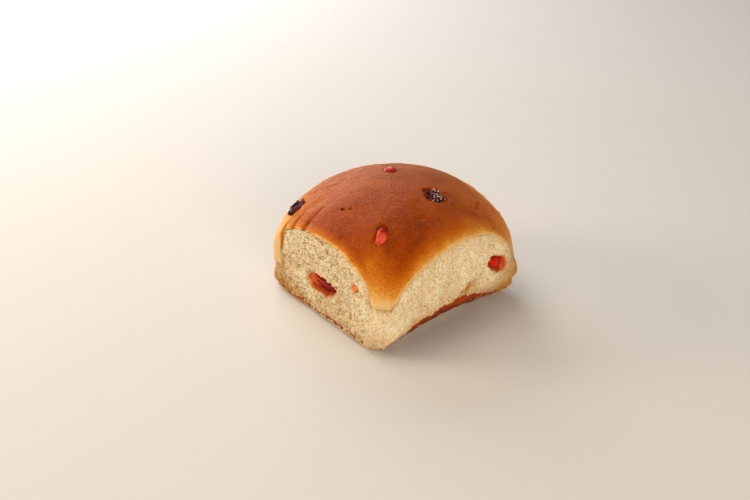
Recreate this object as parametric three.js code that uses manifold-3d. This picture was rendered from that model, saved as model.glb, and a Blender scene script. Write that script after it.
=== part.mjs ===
// A butterscotch fruit bun, torn from a batch baked side by side. Millimetres, +Z up.
//
// The bun is one baked piece. Its browned skin is a dome that runs down in a tongue at each
// corner, its four sides are soft crumb where it was pulled from its neighbours, and its base
// is flat. The raisins and candied cherries that show are pieces of their own, each in a pit.
//
// Frame: the origin is the middle of the base. Bearings are counted from +X towards +Y.
// The corner between +X and -Y is the front one, with the longest tongue.

import * as THREE from 'three';
import { mergeVertices } from 'three/addons/utils/BufferGeometryUtils.js';
import { ImprovedNoise } from 'three/addons/math/ImprovedNoise.js';
import Module from 'manifold-3d';

const { PI, abs, atan2, cos, sin, sqrt, exp, min, max } = Math;

// ---- driving sizes of the bun ----

const HALF_WIDTH = 39.4;     // from the middle to each torn side
const CROWN_HEIGHT = 53;     // base to the top of the dome
const WAIST_HEIGHT = 16.8;   // level at which the skin reaches furthest out
const WAIST_RADIUS = 52.9;   // that reach, measured to the corners
const BASE_TUCK = 4;         // how much the corners draw in from the waist to the base
const TUCK_HEIGHT = 16;      // level below which a torn side curls in to the base
const TUCK_FADE = 0.35;      // share of that curl which is lost towards a side's ends
const DOME_RISE = CROWN_HEIGHT - WAIST_HEIGHT;

// Each torn side: its bearing, how far its foot is tucked in, how much the skin's edge hangs
// lower in the middle (sag), how much it tips up towards the next side (tilt), and how far
// along it the tongues at its two ends reach.
const FRONT_RIGHT = {
  bearing: 0, undercut: 9.4, sag: 1.6, tilt: 1, tongueBefore: 2, tongueAfter: 3,
};
const BACK_RIGHT = {
  bearing: PI / 2, undercut: 5, sag: 0.4, tilt: -0.5, tongueBefore: 5, tongueAfter: 6,
};
const BACK_LEFT = {
  bearing: PI, undercut: 3, sag: 0.6, tilt: 0.5, tongueBefore: 4, tongueAfter: 9,
};
const FRONT_LEFT = {
  bearing: -PI / 2, undercut: 0, sag: 1.5, tilt: 0.2, tongueBefore: 12, tongueAfter: 7.8,
};
const TORN_SIDES = [FRONT_RIGHT, BACK_RIGHT, BACK_LEFT, FRONT_LEFT];

// Height of the skin's lip at the tip of each tongue.
const LIP_FRONT = 23.3;
const LIP_RIGHT = 19.5;
const LIP_BACK = 17;
const LIP_LEFT = 12.2;
const LIP_BLEND = 4;         // roundness of the change from the lip to the arch above a side
const TONGUE_SLOPE = 2;      // over half what width a tongue's side rises to that arch
const SIDE_BLEND = 1;        // roundness of the turn from a torn side to the dome

// Relief of the skin and the crumb.
const SKIN_OVERHANG = 0.8;   // the skin's edge stands proud of the crumb under it
const CRUMB_RECESS = 1.1;    // depth of the crumb right under that edge
const RECESS_DEPTH = 1.6;    // how far down the recess runs
const CRUMB_SWELL = 1.2;     // the corners' crumb bulges past the skin below its lip
const SWELL_RISE = 4;        // how far below the lip that bulge begins
const SWELL_SHARPNESS = 8;   // how close it keeps to the corners
const CALM_HEIGHT = 5;       // below this height the crumb's relief dies away
const CRUMB_LUMPS = 1.1;     // height and size of the soft lumps in the crumb
const LUMP_SIZE = 8.5;
const SMALL_LUMPS = 0.5;     // height and size of the smaller ones on them
const SMALL_LUMP_SIZE = 4.25;
const SKIN_DIMPLES = 0.7;    // height and size of the waves in the skin
const DIMPLE_SIZE = 17;

// Each wave pattern's seed, a number that gives it a scatter of its own.
const DIMPLE_SEED = 3.1;
const LUMP_SEED = 7.7;
const SMALL_LUMP_SEED = 1.3;

// Folds of skin that hang over the front left side, by their place along it.
const FOLD_PLACES = [-28.4, -20.6, -12.2];
const FOLD_WIDTH = 1.5;
const FOLD_LENGTH = 6;
const FOLD_DEPTH = 1.1;

// Mesh rows: across a side, and from the skin's edge to the base (closer near the edge).
const ROWS_ACROSS = 34;
const ROWS_DOWN = 17;
const EDGE_CROWDING = 1.3;
const BASE_SPARE = 0.8;      // the rows run this far past the base, which is then cut flat
const TOLERANCE = 1e-6;
const MERGE_GAP = 1e-4;      // points closer than this are one

// ---- driving sizes of the fruit ----

const FIT_GAP = 0.35;        // between each piece of fruit and its pit

// The form of each kind, as shares of a piece's own radius, and its look.
const FRUIT_KINDS = {
  raisin: { core: 0.9, lumps: 0.16, wrinkles: 0.12, color: '#3d1a16' },
  cherry: { core: 0.97, lumps: 0.21, wrinkles: 0, color: '#a51e0e' },
};
const FRUIT_LUMP_SIZE = 0.62;
const WRINKLE_COUNT = 5;     // round a raisin
const WRINKLE_DRIFT = 2;     // radians that a wrinkle wanders, and over what share of the radius
const WRINKLE_BEND = 0.8;
const WRINKLE_SEED = 5;      // added to the piece's own seed
const FIRST_FRUIT_SEED = 1;
const FRUIT_SEED_STEP = 2.7;
const LONG_PIECE = 10;       // pieces longer than this have more facets
const LONG_DETAIL = 3;
const SHORT_DETAIL = 2;

// Each piece sits on the skin above (x, y), or on a torn side at a place along it and a
// height. length, width and depth are whole sizes, sink is how deep its middle lies under
// the surface, and turn is the angle of its length from level, seen from outside.
const FRUIT = [
  {
    name: 'raisin_left', kind: 'raisin', x: -28.8, y: -30.2,
    length: 11.4, width: 6.4, depth: 5.2, sink: 0.5, turn: 118,
  },
  {
    name: 'raisin_right', kind: 'raisin', x: 16.8, y: 8.9,
    length: 13, width: 11, depth: 5.6, sink: 1.5, turn: -72,
  },
  {
    name: 'cherry_front', kind: 'cherry', x: 21.1, y: -25.2,
    length: 9.4, width: 5.6, depth: 4.2, sink: 1.1, turn: 80,
  },
  {
    name: 'cherry_back', kind: 'cherry', x: -10.9, y: 7.6,
    length: 7, width: 6, depth: 3.6, sink: 0.4, turn: 70,
  },
  {
    name: 'cherry_left_face', kind: 'cherry', side: FRONT_LEFT, along: -0.6, height: 17,
    length: 18.4, width: 6, depth: 5, sink: 2.6, turn: 0,
  },
  {
    name: 'cherry_left_small', kind: 'cherry', side: FRONT_LEFT, along: 22, height: 26.6,
    length: 3.8, width: 3.4, depth: 3, sink: 0.7, turn: 20,
  },
  {
    name: 'cherry_right_face', kind: 'cherry', side: FRONT_RIGHT, along: 24.2, height: 21.6,
    length: 11, width: 6.2, depth: 4.6, sink: 1.1, turn: -32,
  },
];

// Hollows with nothing in them: a hole round the big cherry, a gap beside two pieces in the
// skin, a slit and two creases in the skin, a pit under the left edge, and a dip and a tear
// in the right side. They are given in the same way as the fruit.
const CHERRY_HOLE = {
  side: FRONT_LEFT, along: -1.4, height: 17.4, length: 21.4, width: 7.6, depth: 5.6, sink: 0.4, turn: 0,
};
const RAISIN_GAP = { x: 14.1, y: 7.4, length: 7, width: 5.4, depth: 3.4, sink: 0.3, turn: 10 };
const CHERRY_GAP = { x: 19.1, y: -22.6, length: 5.2, width: 4.4, depth: 3, sink: 0.3, turn: 40 };
const SKIN_SLIT = { x: -0.7, y: -25.3, length: 4.4, width: 1.3, depth: 2, sink: 0, turn: 4 };
const SKIN_CREASE = { x: 26, y: 24.3, length: 9, width: 1, depth: 1.4, sink: 0, turn: 178 };
const LOW_CREASE = { x: 36.3, y: 23.9, length: 5, width: 0.9, depth: 1.2, sink: 0, turn: 172 };
const EDGE_PIT = {
  side: FRONT_LEFT, along: 0.4, height: 37.4, length: 9, width: 3.2, depth: 4.4, sink: 0.2, turn: 4,
};
const SIDE_DIP = {
  side: FRONT_RIGHT, along: 9.4, height: 16, length: 12, width: 6.4, depth: 3.6, sink: 0, turn: 12,
};
const SIDE_TEAR = {
  side: FRONT_RIGHT, along: -17.1, height: 17.6, length: 4.8, width: 1.4, depth: 2.4, sink: 0, turn: 14,
};
const HOLLOWS = [
  CHERRY_HOLE, RAISIN_GAP, CHERRY_GAP, SKIN_SLIT, SKIN_CREASE,
  LOW_CREASE, EDGE_PIT, SIDE_DIP, SIDE_TEAR,
];
const HOLLOW_LUMPS = 0.2;    // height and size of their unevenness, as shares of the radius
const HOLLOW_LUMP_SIZE = 0.7;
const HOLLOW_DETAIL = 1;
const FIRST_HOLLOW_SEED = 4;
const HOLLOW_SEED_STEP = 1.9;

// ---- looks ----

const SKIN_BROWN = '#a9602a';
const SKIN_ROUGHNESS = 0.55;
const FRUIT_ROUGHNESS = 0.3;

// ---- patterns ----

const noiseField = new ImprovedNoise();

function wave(point, size, seed) {
  return noiseField.noise(point.x / size + seed, point.y / size - seed, point.z / size + 0.5 * seed);
}

function softMax(a, b, blend) {
  return 0.5 * (a + b + sqrt((a - b) ** 2 + blend ** 2));
}

function softMin(a, b, blend) {
  return 0.5 * (a + b - sqrt((a - b) ** 2 + blend ** 2));
}

function clamp(value, low, high) {
  return min(high, max(low, value));
}

// ---- form of the bun ----

// How far the round body reaches out at a height, before the sides are torn off.
function bodyReach(height) {
  if (height < WAIST_HEIGHT) {
    return WAIST_RADIUS - BASE_TUCK * (1 - height / WAIST_HEIGHT) ** 2;
  }
  return WAIST_RADIUS * sqrt(max(0, 1 - ((height - WAIST_HEIGHT) / DOME_RISE) ** 2));
}

function sideAt(bearing) {
  const facing = (side) => cos(bearing - side.bearing);
  return TORN_SIDES.reduce((best, side) => (facing(side) > facing(best) ? side : best));
}

// How far out the torn sides lie along a bearing, with their feet tucked in.
function tornReach(bearing, height) {
  const tuck = clamp(1 - height / TUCK_HEIGHT, 0, 1) ** 2;
  const side = sideAt(bearing);
  const slant = Math.tan(bearing - side.bearing);
  const foot = side.undercut * (1 - TUCK_FADE * slant ** 2);
  return (HALF_WIDTH - foot * tuck) / cos(bearing - side.bearing);
}

function lipHeight(bearing) {
  const east = 0.5 + 0.5 * clamp(cos(bearing) * Math.SQRT2, -1, 1);
  const north = 0.5 + 0.5 * clamp(sin(bearing) * Math.SQRT2, -1, 1);
  const near = LIP_LEFT + (LIP_FRONT - LIP_LEFT) * east;
  const far = LIP_BACK + (LIP_RIGHT - LIP_BACK) * east;
  return near + (far - near) * north;
}

// How far along its torn side a bearing lies past the nearest tongue.
function pastTongue(bearing, side) {
  const slant = Math.tan(bearing - side.bearing);
  const reach = slant < 0 ? side.tongueBefore : side.tongueAfter;
  return HALF_WIDTH * (1 - abs(slant)) - reach;
}

// Height of the skin's edge along a bearing: where the torn side cuts the dome, or the lip.
function edgeHeight(bearing) {
  const side = sideAt(bearing);
  const slant = Math.tan(bearing - side.bearing);
  const across = (HALF_WIDTH / cos(bearing - side.bearing)) / WAIST_RADIUS;
  const cut = WAIST_HEIGHT + DOME_RISE * sqrt(max(0, 1 - across ** 2));
  const arch = cut - side.sag * cos(slant * (PI / 2)) + side.tilt * sin(slant * PI);
  const share = THREE.MathUtils.smoothstep(pastTongue(bearing, side), -TONGUE_SLOPE, TONGUE_SLOPE);
  const lip = lipHeight(bearing);
  const low = lip - LIP_BLEND;
  return softMax(low + (arch - low) * share, lip, LIP_BLEND);
}

// Angle from the crown down the dome at which a height is reached.
function domeAngle(height) {
  if (height < WAIST_HEIGHT) {
    return PI / 2 + (WAIST_HEIGHT - height) / DOME_RISE;
  }
  return Math.acos((height - WAIST_HEIGHT) / DOME_RISE);
}

function domeHeight(angle) {
  if (angle > PI / 2) {
    return WAIST_HEIGHT - (angle - PI / 2) * DOME_RISE;
  }
  return WAIST_HEIGHT + DOME_RISE * cos(angle);
}

// The outward push of the folds of skin above the front left side.
function foldRelief(point, edge) {
  if (sideAt(atan2(point.y, point.x)) !== FRONT_LEFT) {
    return 0;
  }
  const fade = exp(-(((edge - point.z) / FOLD_LENGTH) ** 2));
  const grooves = FOLD_PLACES.map((place) => exp(-(((point.x - place) / FOLD_WIDTH) ** 2)));
  return -FOLD_DEPTH * fade * max(...grooves);
}

// A point of the browned skin. across and up run from -1 to 1 over the dome, and spread
// is 0 at the crown and 1 at the skin's edge.
function skinPoint(across, up) {
  const spread = max(abs(across), abs(up));
  const bearing = atan2(up, across);
  const edge = edgeHeight(bearing);
  const angle = domeAngle(edge) * spread;
  const height = domeHeight(angle);
  const reach = softMin(bodyReach(height), tornReach(bearing, height) + SKIN_OVERHANG, SIDE_BLEND);
  const point = new THREE.Vector3(reach * cos(bearing), reach * sin(bearing), height);
  const outward = new THREE.Vector3(
    (point.x / WAIST_RADIUS ** 2),
    (point.y / WAIST_RADIUS ** 2),
    max(0, height - WAIST_HEIGHT) / DOME_RISE ** 2,
  ).normalize();
  const relief = SKIN_DIMPLES * wave(point, DIMPLE_SIZE, DIMPLE_SEED) + foldRelief(point, edge);
  return point.addScaledVector(outward, relief);
}

// The outward push of the crumb at a height on a torn side or below a tongue.
function crumbRelief(point, bearing, below) {
  const recess = -CRUMB_RECESS * exp(-((below / RECESS_DEPTH) ** 2));
  const cornerness = abs(sin(2 * bearing)) ** SWELL_SHARPNESS;
  const swell = CRUMB_SWELL * cornerness * (1 - exp(-((below / SWELL_RISE) ** 2)));
  const calm = clamp(point.z / CALM_HEIGHT, 0, 1);
  const lumps = CRUMB_LUMPS * wave(point, LUMP_SIZE, LUMP_SEED);
  const smallLumps = SMALL_LUMPS * wave(point, SMALL_LUMP_SIZE, SMALL_LUMP_SEED);
  return recess + (swell + lumps + smallLumps) * calm;
}

// A point of the torn crumb. drop is 0 at the skin's edge and 1 at the base.
function crumbPoint(across, up, drop) {
  const bearing = atan2(up, across);
  const edge = edgeHeight(bearing);
  const height = edge - (edge + BASE_SPARE) * drop ** EDGE_CROWDING;
  const reach = softMin(bodyReach(height), tornReach(bearing, height), SIDE_BLEND);
  const point = new THREE.Vector3(reach * cos(bearing), reach * sin(bearing), height);
  const outward = new THREE.Vector3(cos(bearing), sin(bearing), 0);
  return point.addScaledVector(outward, crumbRelief(point, bearing, edge - height));
}

// A point under the base, inside the foot of the sides.
function underPoint(across, up) {
  const spread = max(abs(across), abs(up));
  const point = crumbPoint(across, up, 1);
  return new THREE.Vector3(point.x * spread, point.y * spread, -BASE_SPARE * (2 - spread));
}

// Splits each square of the top along the line from the crown, so that no tongue is stepped.
function splitFromCrown(geometry) {
  const { index } = geometry;
  const { position } = geometry.attributes;
  for (let first = 0; first < index.count; first += 6) {
    const [a, b, d, , c] = index.array.subarray(first, first + 6);
    const onTop = min(position.getZ(a), position.getZ(c)) > 1 - TOLERANCE;
    const x = position.getX(a) + position.getX(c);
    const y = position.getY(a) + position.getY(c);
    if (onTop && x * y < 0) {
      index.array.set([a, b, c, a, c, d], first);
    }
  }
}

// A closed box of rows takes the form of the bun: its top the skin, its walls the crumb.
function bunGeometry() {
  const geometry = new THREE.BoxGeometry(2, 2, 2, ROWS_ACROSS, ROWS_ACROSS, ROWS_DOWN);
  splitFromCrown(geometry);
  const position = geometry.attributes.position;
  const at = new THREE.Vector3();
  for (let i = 0; i < position.count; i += 1) {
    at.fromBufferAttribute(position, i);
    const formed = bunPoint(at);
    position.setXYZ(i, formed.x, formed.y, formed.z);
  }
  return geometry;
}

function bunPoint(at) {
  if (at.z > 1 - TOLERANCE) {
    return skinPoint(at.x, at.y);
  }
  if (at.z < -1 + TOLERANCE) {
    return underPoint(at.x, at.y);
  }
  return crumbPoint(at.x, at.y, (1 - at.z) / 2);
}

// ---- form of the fruit ----

// Where a piece sits: its middle and three directions (length, width, outward).
function seat(piece) {
  const surface = new THREE.Vector3();
  const outward = new THREE.Vector3();
  if (piece.side) {
    const { bearing } = piece.side;
    outward.set(cos(bearing), sin(bearing), 0);
    surface.set(-sin(bearing) * piece.along, cos(bearing) * piece.along, piece.height);
    surface.addScaledVector(outward, HALF_WIDTH);
  } else {
    const rise = sqrt(1 - (piece.x ** 2 + piece.y ** 2) / WAIST_RADIUS ** 2);
    surface.set(piece.x, piece.y, WAIST_HEIGHT + DOME_RISE * rise);
    outward.set(piece.x / WAIST_RADIUS ** 2, piece.y / WAIST_RADIUS ** 2, rise / DOME_RISE);
    outward.normalize();
  }
  const level = new THREE.Vector3(0, 0, 1).cross(outward).normalize();
  const turn = THREE.MathUtils.degToRad(piece.turn);
  const lengthwise = level.applyAxisAngle(outward, turn);
  const widthwise = outward.clone().cross(lengthwise);
  const middle = surface.addScaledVector(outward, -piece.sink);
  return new THREE.Matrix4().makeBasis(lengthwise, widthwise, outward).setPosition(middle);
}

// How far a piece of fruit puffs out or shrinks in along a direction from its middle.
function fruitSwell(direction, kind, seed) {
  const { core, lumps, wrinkles } = FRUIT_KINDS[kind];
  const round = atan2(direction.z, direction.y);
  const drift = WRINKLE_DRIFT * wave(direction, WRINKLE_BEND, seed + WRINKLE_SEED);
  const crests = abs(sin(0.5 * WRINKLE_COUNT * round + drift)) * (1 - direction.x ** 2);
  return core + lumps * wave(direction, FRUIT_LUMP_SIZE, seed) + wrinkles * crests;
}

// A lump of the given sizes about the origin, swollen outward by grow.
function lumpGeometry(piece, detail, grow, swell) {
  const geometry = new THREE.IcosahedronGeometry(1, detail);
  const position = geometry.attributes.position;
  const at = new THREE.Vector3();
  for (let i = 0; i < position.count; i += 1) {
    at.fromBufferAttribute(position, i).normalize();
    const puff = swell(at);
    const x = at.x * (0.5 * piece.length * puff + grow);
    const y = at.y * (0.5 * piece.width * puff + grow);
    const z = at.z * (0.5 * piece.depth * puff + grow);
    position.setXYZ(i, x, y, z);
  }
  return geometry.applyMatrix4(seat(piece));
}

function fruitGeometry(piece, grow) {
  const seed = FIRST_FRUIT_SEED + FRUIT_SEED_STEP * FRUIT.indexOf(piece);
  const detail = piece.length > LONG_PIECE ? LONG_DETAIL : SHORT_DETAIL;
  return lumpGeometry(piece, detail, grow, (direction) => fruitSwell(direction, piece.kind, seed));
}

function hollowGeometry(hollow) {
  const seed = FIRST_HOLLOW_SEED + HOLLOW_SEED_STEP * HOLLOWS.indexOf(hollow);
  const swell = (direction) => 1 + HOLLOW_LUMPS * wave(direction, HOLLOW_LUMP_SIZE, seed);
  return lumpGeometry(hollow, HOLLOW_DETAIL, 0, swell);
}

// ---- solids ----

const wasm = await Module();
wasm.setup();

function toSolid(geometry) {
  geometry.deleteAttribute('normal');
  geometry.deleteAttribute('uv');
  const merged = mergeVertices(geometry, MERGE_GAP);
  const vertProperties = new Float32Array(merged.attributes.position.array);
  const triVerts = new Uint32Array(merged.index.array);
  return new wasm.Manifold(new wasm.Mesh({ numProp: 3, vertProperties, triVerts }));
}

function toGeometry(solid) {
  const mesh = solid.getMesh();
  const geometry = new THREE.BufferGeometry();
  geometry.setAttribute('position', new THREE.BufferAttribute(mesh.vertProperties, 3));
  geometry.setIndex(new THREE.BufferAttribute(mesh.triVerts, 1));
  geometry.computeVertexNormals();
  return geometry;
}

// What lies under the level of the base.
function underGeometry() {
  const width = 4 * HALF_WIDTH;
  return new THREE.BoxGeometry(width, width, CROWN_HEIGHT).translate(0, 0, -CROWN_HEIGHT / 2);
}

function bunSolid() {
  let bun = toSolid(bunGeometry()).subtract(toSolid(underGeometry()));
  for (const hollow of HOLLOWS) {
    bun = bun.subtract(toSolid(hollowGeometry(hollow)));
  }
  for (const piece of FRUIT) {
    bun = bun.subtract(toSolid(fruitGeometry(piece, FIT_GAP)));
  }
  return bun;
}

// ---- the bun and its fruit ----

function namedMesh(name, geometry, color, roughness) {
  const material = new THREE.MeshStandardMaterial({ color, roughness, metalness: 0 });
  const mesh = new THREE.Mesh(geometry, material);
  mesh.name = name;
  return mesh;
}

function fruitMesh(piece) {
  const geometry = toGeometry(toSolid(fruitGeometry(piece, 0)));
  return namedMesh(piece.name, geometry, FRUIT_KINDS[piece.kind].color, FRUIT_ROUGHNESS);
}

const bun = new THREE.Group();
bun.add(namedMesh('bun', toGeometry(bunSolid()), SKIN_BROWN, SKIN_ROUGHNESS));
for (const piece of FRUIT) {
  bun.add(fruitMesh(piece));
}

export default bun;
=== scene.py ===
"""A butterscotch fruit bun, torn from a batch that was baked side by side.

The browned skin is a thin shell over soft crumb, and the crumb shows on the four sides where
the bun was pulled from its neighbours. A thin baked crust covers the base. Raisins and pieces
of candied cherry are set into the skin and the crumb.

Sizes in the classes are millimetres, and the meshes are in metres. The origin is the middle
of the flat base, +Z is up, and bearings are counted from +X towards +Y.
"""

import logging
import math
from collections.abc import Callable, Iterator
from contextlib import contextmanager
from dataclasses import dataclass, field
from enum import Enum

import bpy
import numpy as np
from mathutils import Matrix, Vector, noise


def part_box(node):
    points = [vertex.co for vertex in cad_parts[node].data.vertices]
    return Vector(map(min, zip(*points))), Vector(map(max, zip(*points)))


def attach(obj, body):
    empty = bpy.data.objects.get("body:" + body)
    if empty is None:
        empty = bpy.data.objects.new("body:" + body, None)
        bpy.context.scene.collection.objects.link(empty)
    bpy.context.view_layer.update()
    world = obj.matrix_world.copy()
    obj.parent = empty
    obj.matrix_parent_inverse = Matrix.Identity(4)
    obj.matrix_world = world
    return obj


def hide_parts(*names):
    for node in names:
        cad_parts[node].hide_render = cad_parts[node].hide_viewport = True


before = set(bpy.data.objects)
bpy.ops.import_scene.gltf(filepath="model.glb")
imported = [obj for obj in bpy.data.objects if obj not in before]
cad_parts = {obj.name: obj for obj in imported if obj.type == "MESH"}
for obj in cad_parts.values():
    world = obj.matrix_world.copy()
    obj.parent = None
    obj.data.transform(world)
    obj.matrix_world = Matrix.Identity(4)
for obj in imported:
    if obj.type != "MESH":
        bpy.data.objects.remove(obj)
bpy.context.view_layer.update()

LOG = logging.getLogger("bun")
MM = 0.001
Array = np.ndarray


# ---- colours, nodes and meshes ----

def linear(code: str) -> tuple[float, ...]:
    """Turns an sRGB hex colour into the linear one that a shader takes.

    Args:
        code: The colour, such as "#a9602a".

    Returns:
        Linear red, green and blue, and a full alpha.
    """
    parts = [int(code[i:i + 2], 16) / 255 for i in (1, 3, 5)]
    return (*(p / 12.92 if p <= 0.04045 else ((p + 0.055) / 1.055) ** 2.4 for p in parts), 1.0)


def add_node(
    tree: bpy.types.NodeTree,
    kind: str,
    inputs: dict | None = None,
    stops: dict[float, str] | None = None,
    **settings: object,
) -> bpy.types.Node:
    """Adds a shader node with its settings and links.

    Args:
        tree: The tree that the node goes in.
        kind: The node's type without "ShaderNode".
        inputs: A value, or a socket to link from, for each input by its name or number.
        stops: The colours of a ramp, by their place on it.
        settings: The node's own properties.

    Returns:
        The new node.
    """
    node = tree.nodes.new("ShaderNode" + kind)
    for name, value in settings.items():
        setattr(node, name, value)
    for name, value in (inputs or {}).items():
        if isinstance(value, bpy.types.NodeSocket):
            tree.links.new(value, node.inputs[name])
        else:
            node.inputs[name].default_value = value
    if stops:
        elements = node.color_ramp.elements
        while len(elements) < len(stops):
            elements.new(1.0)
        for element, (place, code) in zip(elements, sorted(stops.items())):
            element.position = place
            element.color = linear(code)
    return node


def new_material(name: str) -> tuple[bpy.types.Material, bpy.types.NodeTree]:
    """Makes an empty material with nodes.

    Args:
        name: The material's name.

    Returns:
        The material, and its tree of nodes.
    """
    material = bpy.data.materials.new(name)
    material.use_nodes = True
    material.node_tree.nodes.clear()
    return material, material.node_tree


def show_surface(tree: bpy.types.NodeTree, shader: bpy.types.Node) -> None:
    """Links a shader to the material's surface."""
    add_node(tree, "OutputMaterial", {"Surface": shader.outputs[0]})


def add_piece(name: str, primitive: Callable, **sizes: object) -> bpy.types.Object:
    """Adds a primitive on its own, and names it.

    Args:
        name: The piece's name.
        primitive: The bpy.ops.mesh function that adds it.
        sizes: What that function is given.

    Returns:
        The new object, which is active and the only one selected.
    """
    bpy.ops.object.select_all(action="DESELECT")
    primitive(**sizes)
    piece = bpy.context.object
    piece.name = piece.data.name = name
    return piece


@contextmanager
def editing(piece: bpy.types.Object) -> Iterator[None]:
    """Opens a piece in edit mode with all of it selected, and closes it again.

    Args:
        piece: The piece.
    """
    bpy.context.view_layer.objects.active = piece
    bpy.ops.object.mode_set(mode="EDIT")
    bpy.ops.mesh.select_all(action="SELECT")
    yield
    bpy.ops.object.mode_set(mode="OBJECT")


def apply_modifier(piece: bpy.types.Object, kind: str, **settings: object) -> None:
    """Gives a piece a modifier, and applies it.

    Args:
        piece: The piece.
        kind: The modifier's type.
        settings: The modifier's own properties.
    """
    modifier = piece.modifiers.new(kind.title(), kind)
    for name, value in settings.items():
        setattr(modifier, name, value)
    bpy.context.view_layer.objects.active = piece
    bpy.ops.object.modifier_apply(modifier=modifier.name)


def read_points(piece: bpy.types.Object) -> Array:
    """Reads the places of a piece's points, in millimetres.

    Args:
        piece: The piece.

    Returns:
        A row for each point.
    """
    flat = np.empty(3 * len(piece.data.vertices), np.float32)
    piece.data.vertices.foreach_get("co", flat)
    return flat.reshape(-1, 3).astype(float) / MM


def write_points(piece: bpy.types.Object, points: Array) -> None:
    """Moves a piece's points to these places, in millimetres."""
    piece.data.vertices.foreach_set("co", (points * MM).astype(np.float32).ravel())
    piece.data.update()


def read_normals(piece: bpy.types.Object) -> Array:
    """Reads the outward direction at each of a piece's points.

    Args:
        piece: The piece.

    Returns:
        A row for each point, one long.
    """
    flat = np.empty(3 * len(piece.data.vertices), np.float32)
    piece.data.vertex_normals.foreach_get("vector", flat)
    return flat.reshape(-1, 3).astype(float)


def push_out(piece: bpy.types.Object, amounts: Array) -> None:
    """Moves each point outward by its own amount, in millimetres."""
    write_points(piece, read_points(piece) + read_normals(piece) * amounts[:, None])


def keep_values(piece: bpy.types.Object, name: str, values: Array) -> None:
    """Keeps a number for each point under a name that a material can read."""
    layer = piece.data.attributes.new(name, "FLOAT", "POINT")
    layer.data.foreach_set("value", values.astype(np.float32))


def set_weights(piece: bpy.types.Object, name: str, weights: Array) -> None:
    """Gives a piece a vertex group with a weight for each point.

    Args:
        piece: The piece.
        name: The name of the group.
        weights: The weights, which are kept from 0 to 1.
    """
    group = piece.vertex_groups.new(name=name)
    for number, weight in enumerate(np.clip(weights, 0, 1).tolist()):
        group.add([number], weight, "REPLACE")


def shade_smooth(piece: bpy.types.Object, degrees: float = 180) -> None:
    """Smooths a piece's shading across edges that turn less than an angle.

    Args:
        piece: The piece.
        degrees: That angle.
    """
    bpy.ops.object.select_all(action="DESELECT")
    piece.select_set(True)
    bpy.context.view_layer.objects.active = piece
    bpy.ops.object.shade_smooth_by_angle(angle=math.radians(degrees))


def hand_over(piece: bpy.types.Object, material: bpy.types.Material, slot: str, *nodes: str) -> None:
    """Dresses a finished piece and hides the bun's solids that it stands for.

    Args:
        piece: The piece.
        material: What it is made of.
        slot: The slot that its material fills; it is not used.
        nodes: The solids that it stands for.
    """
    piece.data.materials.clear()
    piece.data.materials.append(material)
    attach(piece, "root")
    if nodes:
        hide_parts(*nodes)


# ---- patterns ----

def waves(points: Array, size: float, seed: float) -> Array:
    """Smooth random waves about `size` millimetres apart, mostly from -0.6 to 0.6."""
    return np.array([noise.noise(place) for place in (points / size + seed).tolist()])


@dataclass(frozen=True)
class Wave:
    """A set of smooth random waves in a surface, in its colour or along an edge."""

    height: float       # how much they change it
    size: float         # how far apart they lie, in millimetres
    seed: float


def summed(points: Array, sets: tuple[Wave, ...]) -> Array:
    """How much several sets of waves together change each place."""
    return sum(wave.height * waves(points, wave.size, wave.seed) for wave in sets)


def ridges(points: Array, size: float, seed: float) -> Array:
    """Random waves with sharp crests, from 0 in the valleys to 1 on the crests."""
    return 1 - np.minimum(1, 2.2 * np.abs(waves(points, size, seed)))


def pores(points: Array, spacing: float, width: float, share: float, seed: float) -> Array:
    """Round pores of uneven size, scattered through the dough.

    Args:
        points: Where to look, in millimetres.
        spacing: How far apart the pores lie.
        width: The width of the largest ones.
        share: The share of places that have a pore.
        seed: Any number, which gives another scatter.

    Returns:
        For each point 0 outside the pores and up to 1 at the middle of one.
    """
    depth = np.zeros(len(points))
    for number, place in enumerate((points / spacing + seed).tolist()):
        distances, middles = noise.voronoi(place)
        chance = 0.5 + 0.5 * noise.cell(middles[0] * 7.3)
        radius = 0.5 * width / spacing * (0.45 + 0.55 * chance / share)
        if chance < share and distances[0] < radius:
            depth[number] = 1 - (distances[0] / radius) ** 2
    return depth


def smooth_step(values: Array, low: float, high: float) -> Array:
    """Rises smoothly from 0 at low to 1 at high."""
    part = np.clip((values - low) / (high - low), 0, 1)
    return part * part * (3 - 2 * part)


def soft_max(a: Array, b: Array, blend: float) -> Array:
    """The larger of two values, with a rounded change from one to the other."""
    return 0.5 * (a + b + np.sqrt((a - b) ** 2 + blend ** 2))


def soft_min(a: Array, b: Array, blend: float) -> Array:
    """The smaller of two values, with a rounded change from one to the other."""
    return 0.5 * (a + b - np.sqrt((a - b) ** 2 + blend ** 2))


# ---- form of the bun ----

class Face(Enum):
    """A face of the bun. The torn sides are numbered by quarter turns from +X towards +Y."""

    FRONT_RIGHT = 0
    BACK_RIGHT = 1
    BACK_LEFT = 2
    FRONT_LEFT = 3
    SKIN = 4

    @property
    def bearing(self) -> float:
        """The way that a torn side faces."""
        return self.value * math.pi / 2


@dataclass(frozen=True)
class TornSide:
    """How one torn side differs from a flat upright wall, in millimetres."""

    undercut: float         # how far its foot is tucked in
    sag: float              # how much lower the skin's edge hangs in its middle
    tilt: float             # how much the edge tips up towards the next side
    tongue_before: float    # how far the tongues at its two ends reach along it
    tongue_after: float
    skin_fade: float        # over what distance from its edge the skin turns from pale to brown
    rim: float              # how wide the unbaked rim of the skin is
    crust_low: float        # how high the crust of the base climbs its ends
    crust_peak: float       # how much higher it climbs the middle
    crust_shift: float      # how far that peak lies from the middle of the side
    coarseness: float       # how coarse and open its crumb is, from 0 to 1


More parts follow.
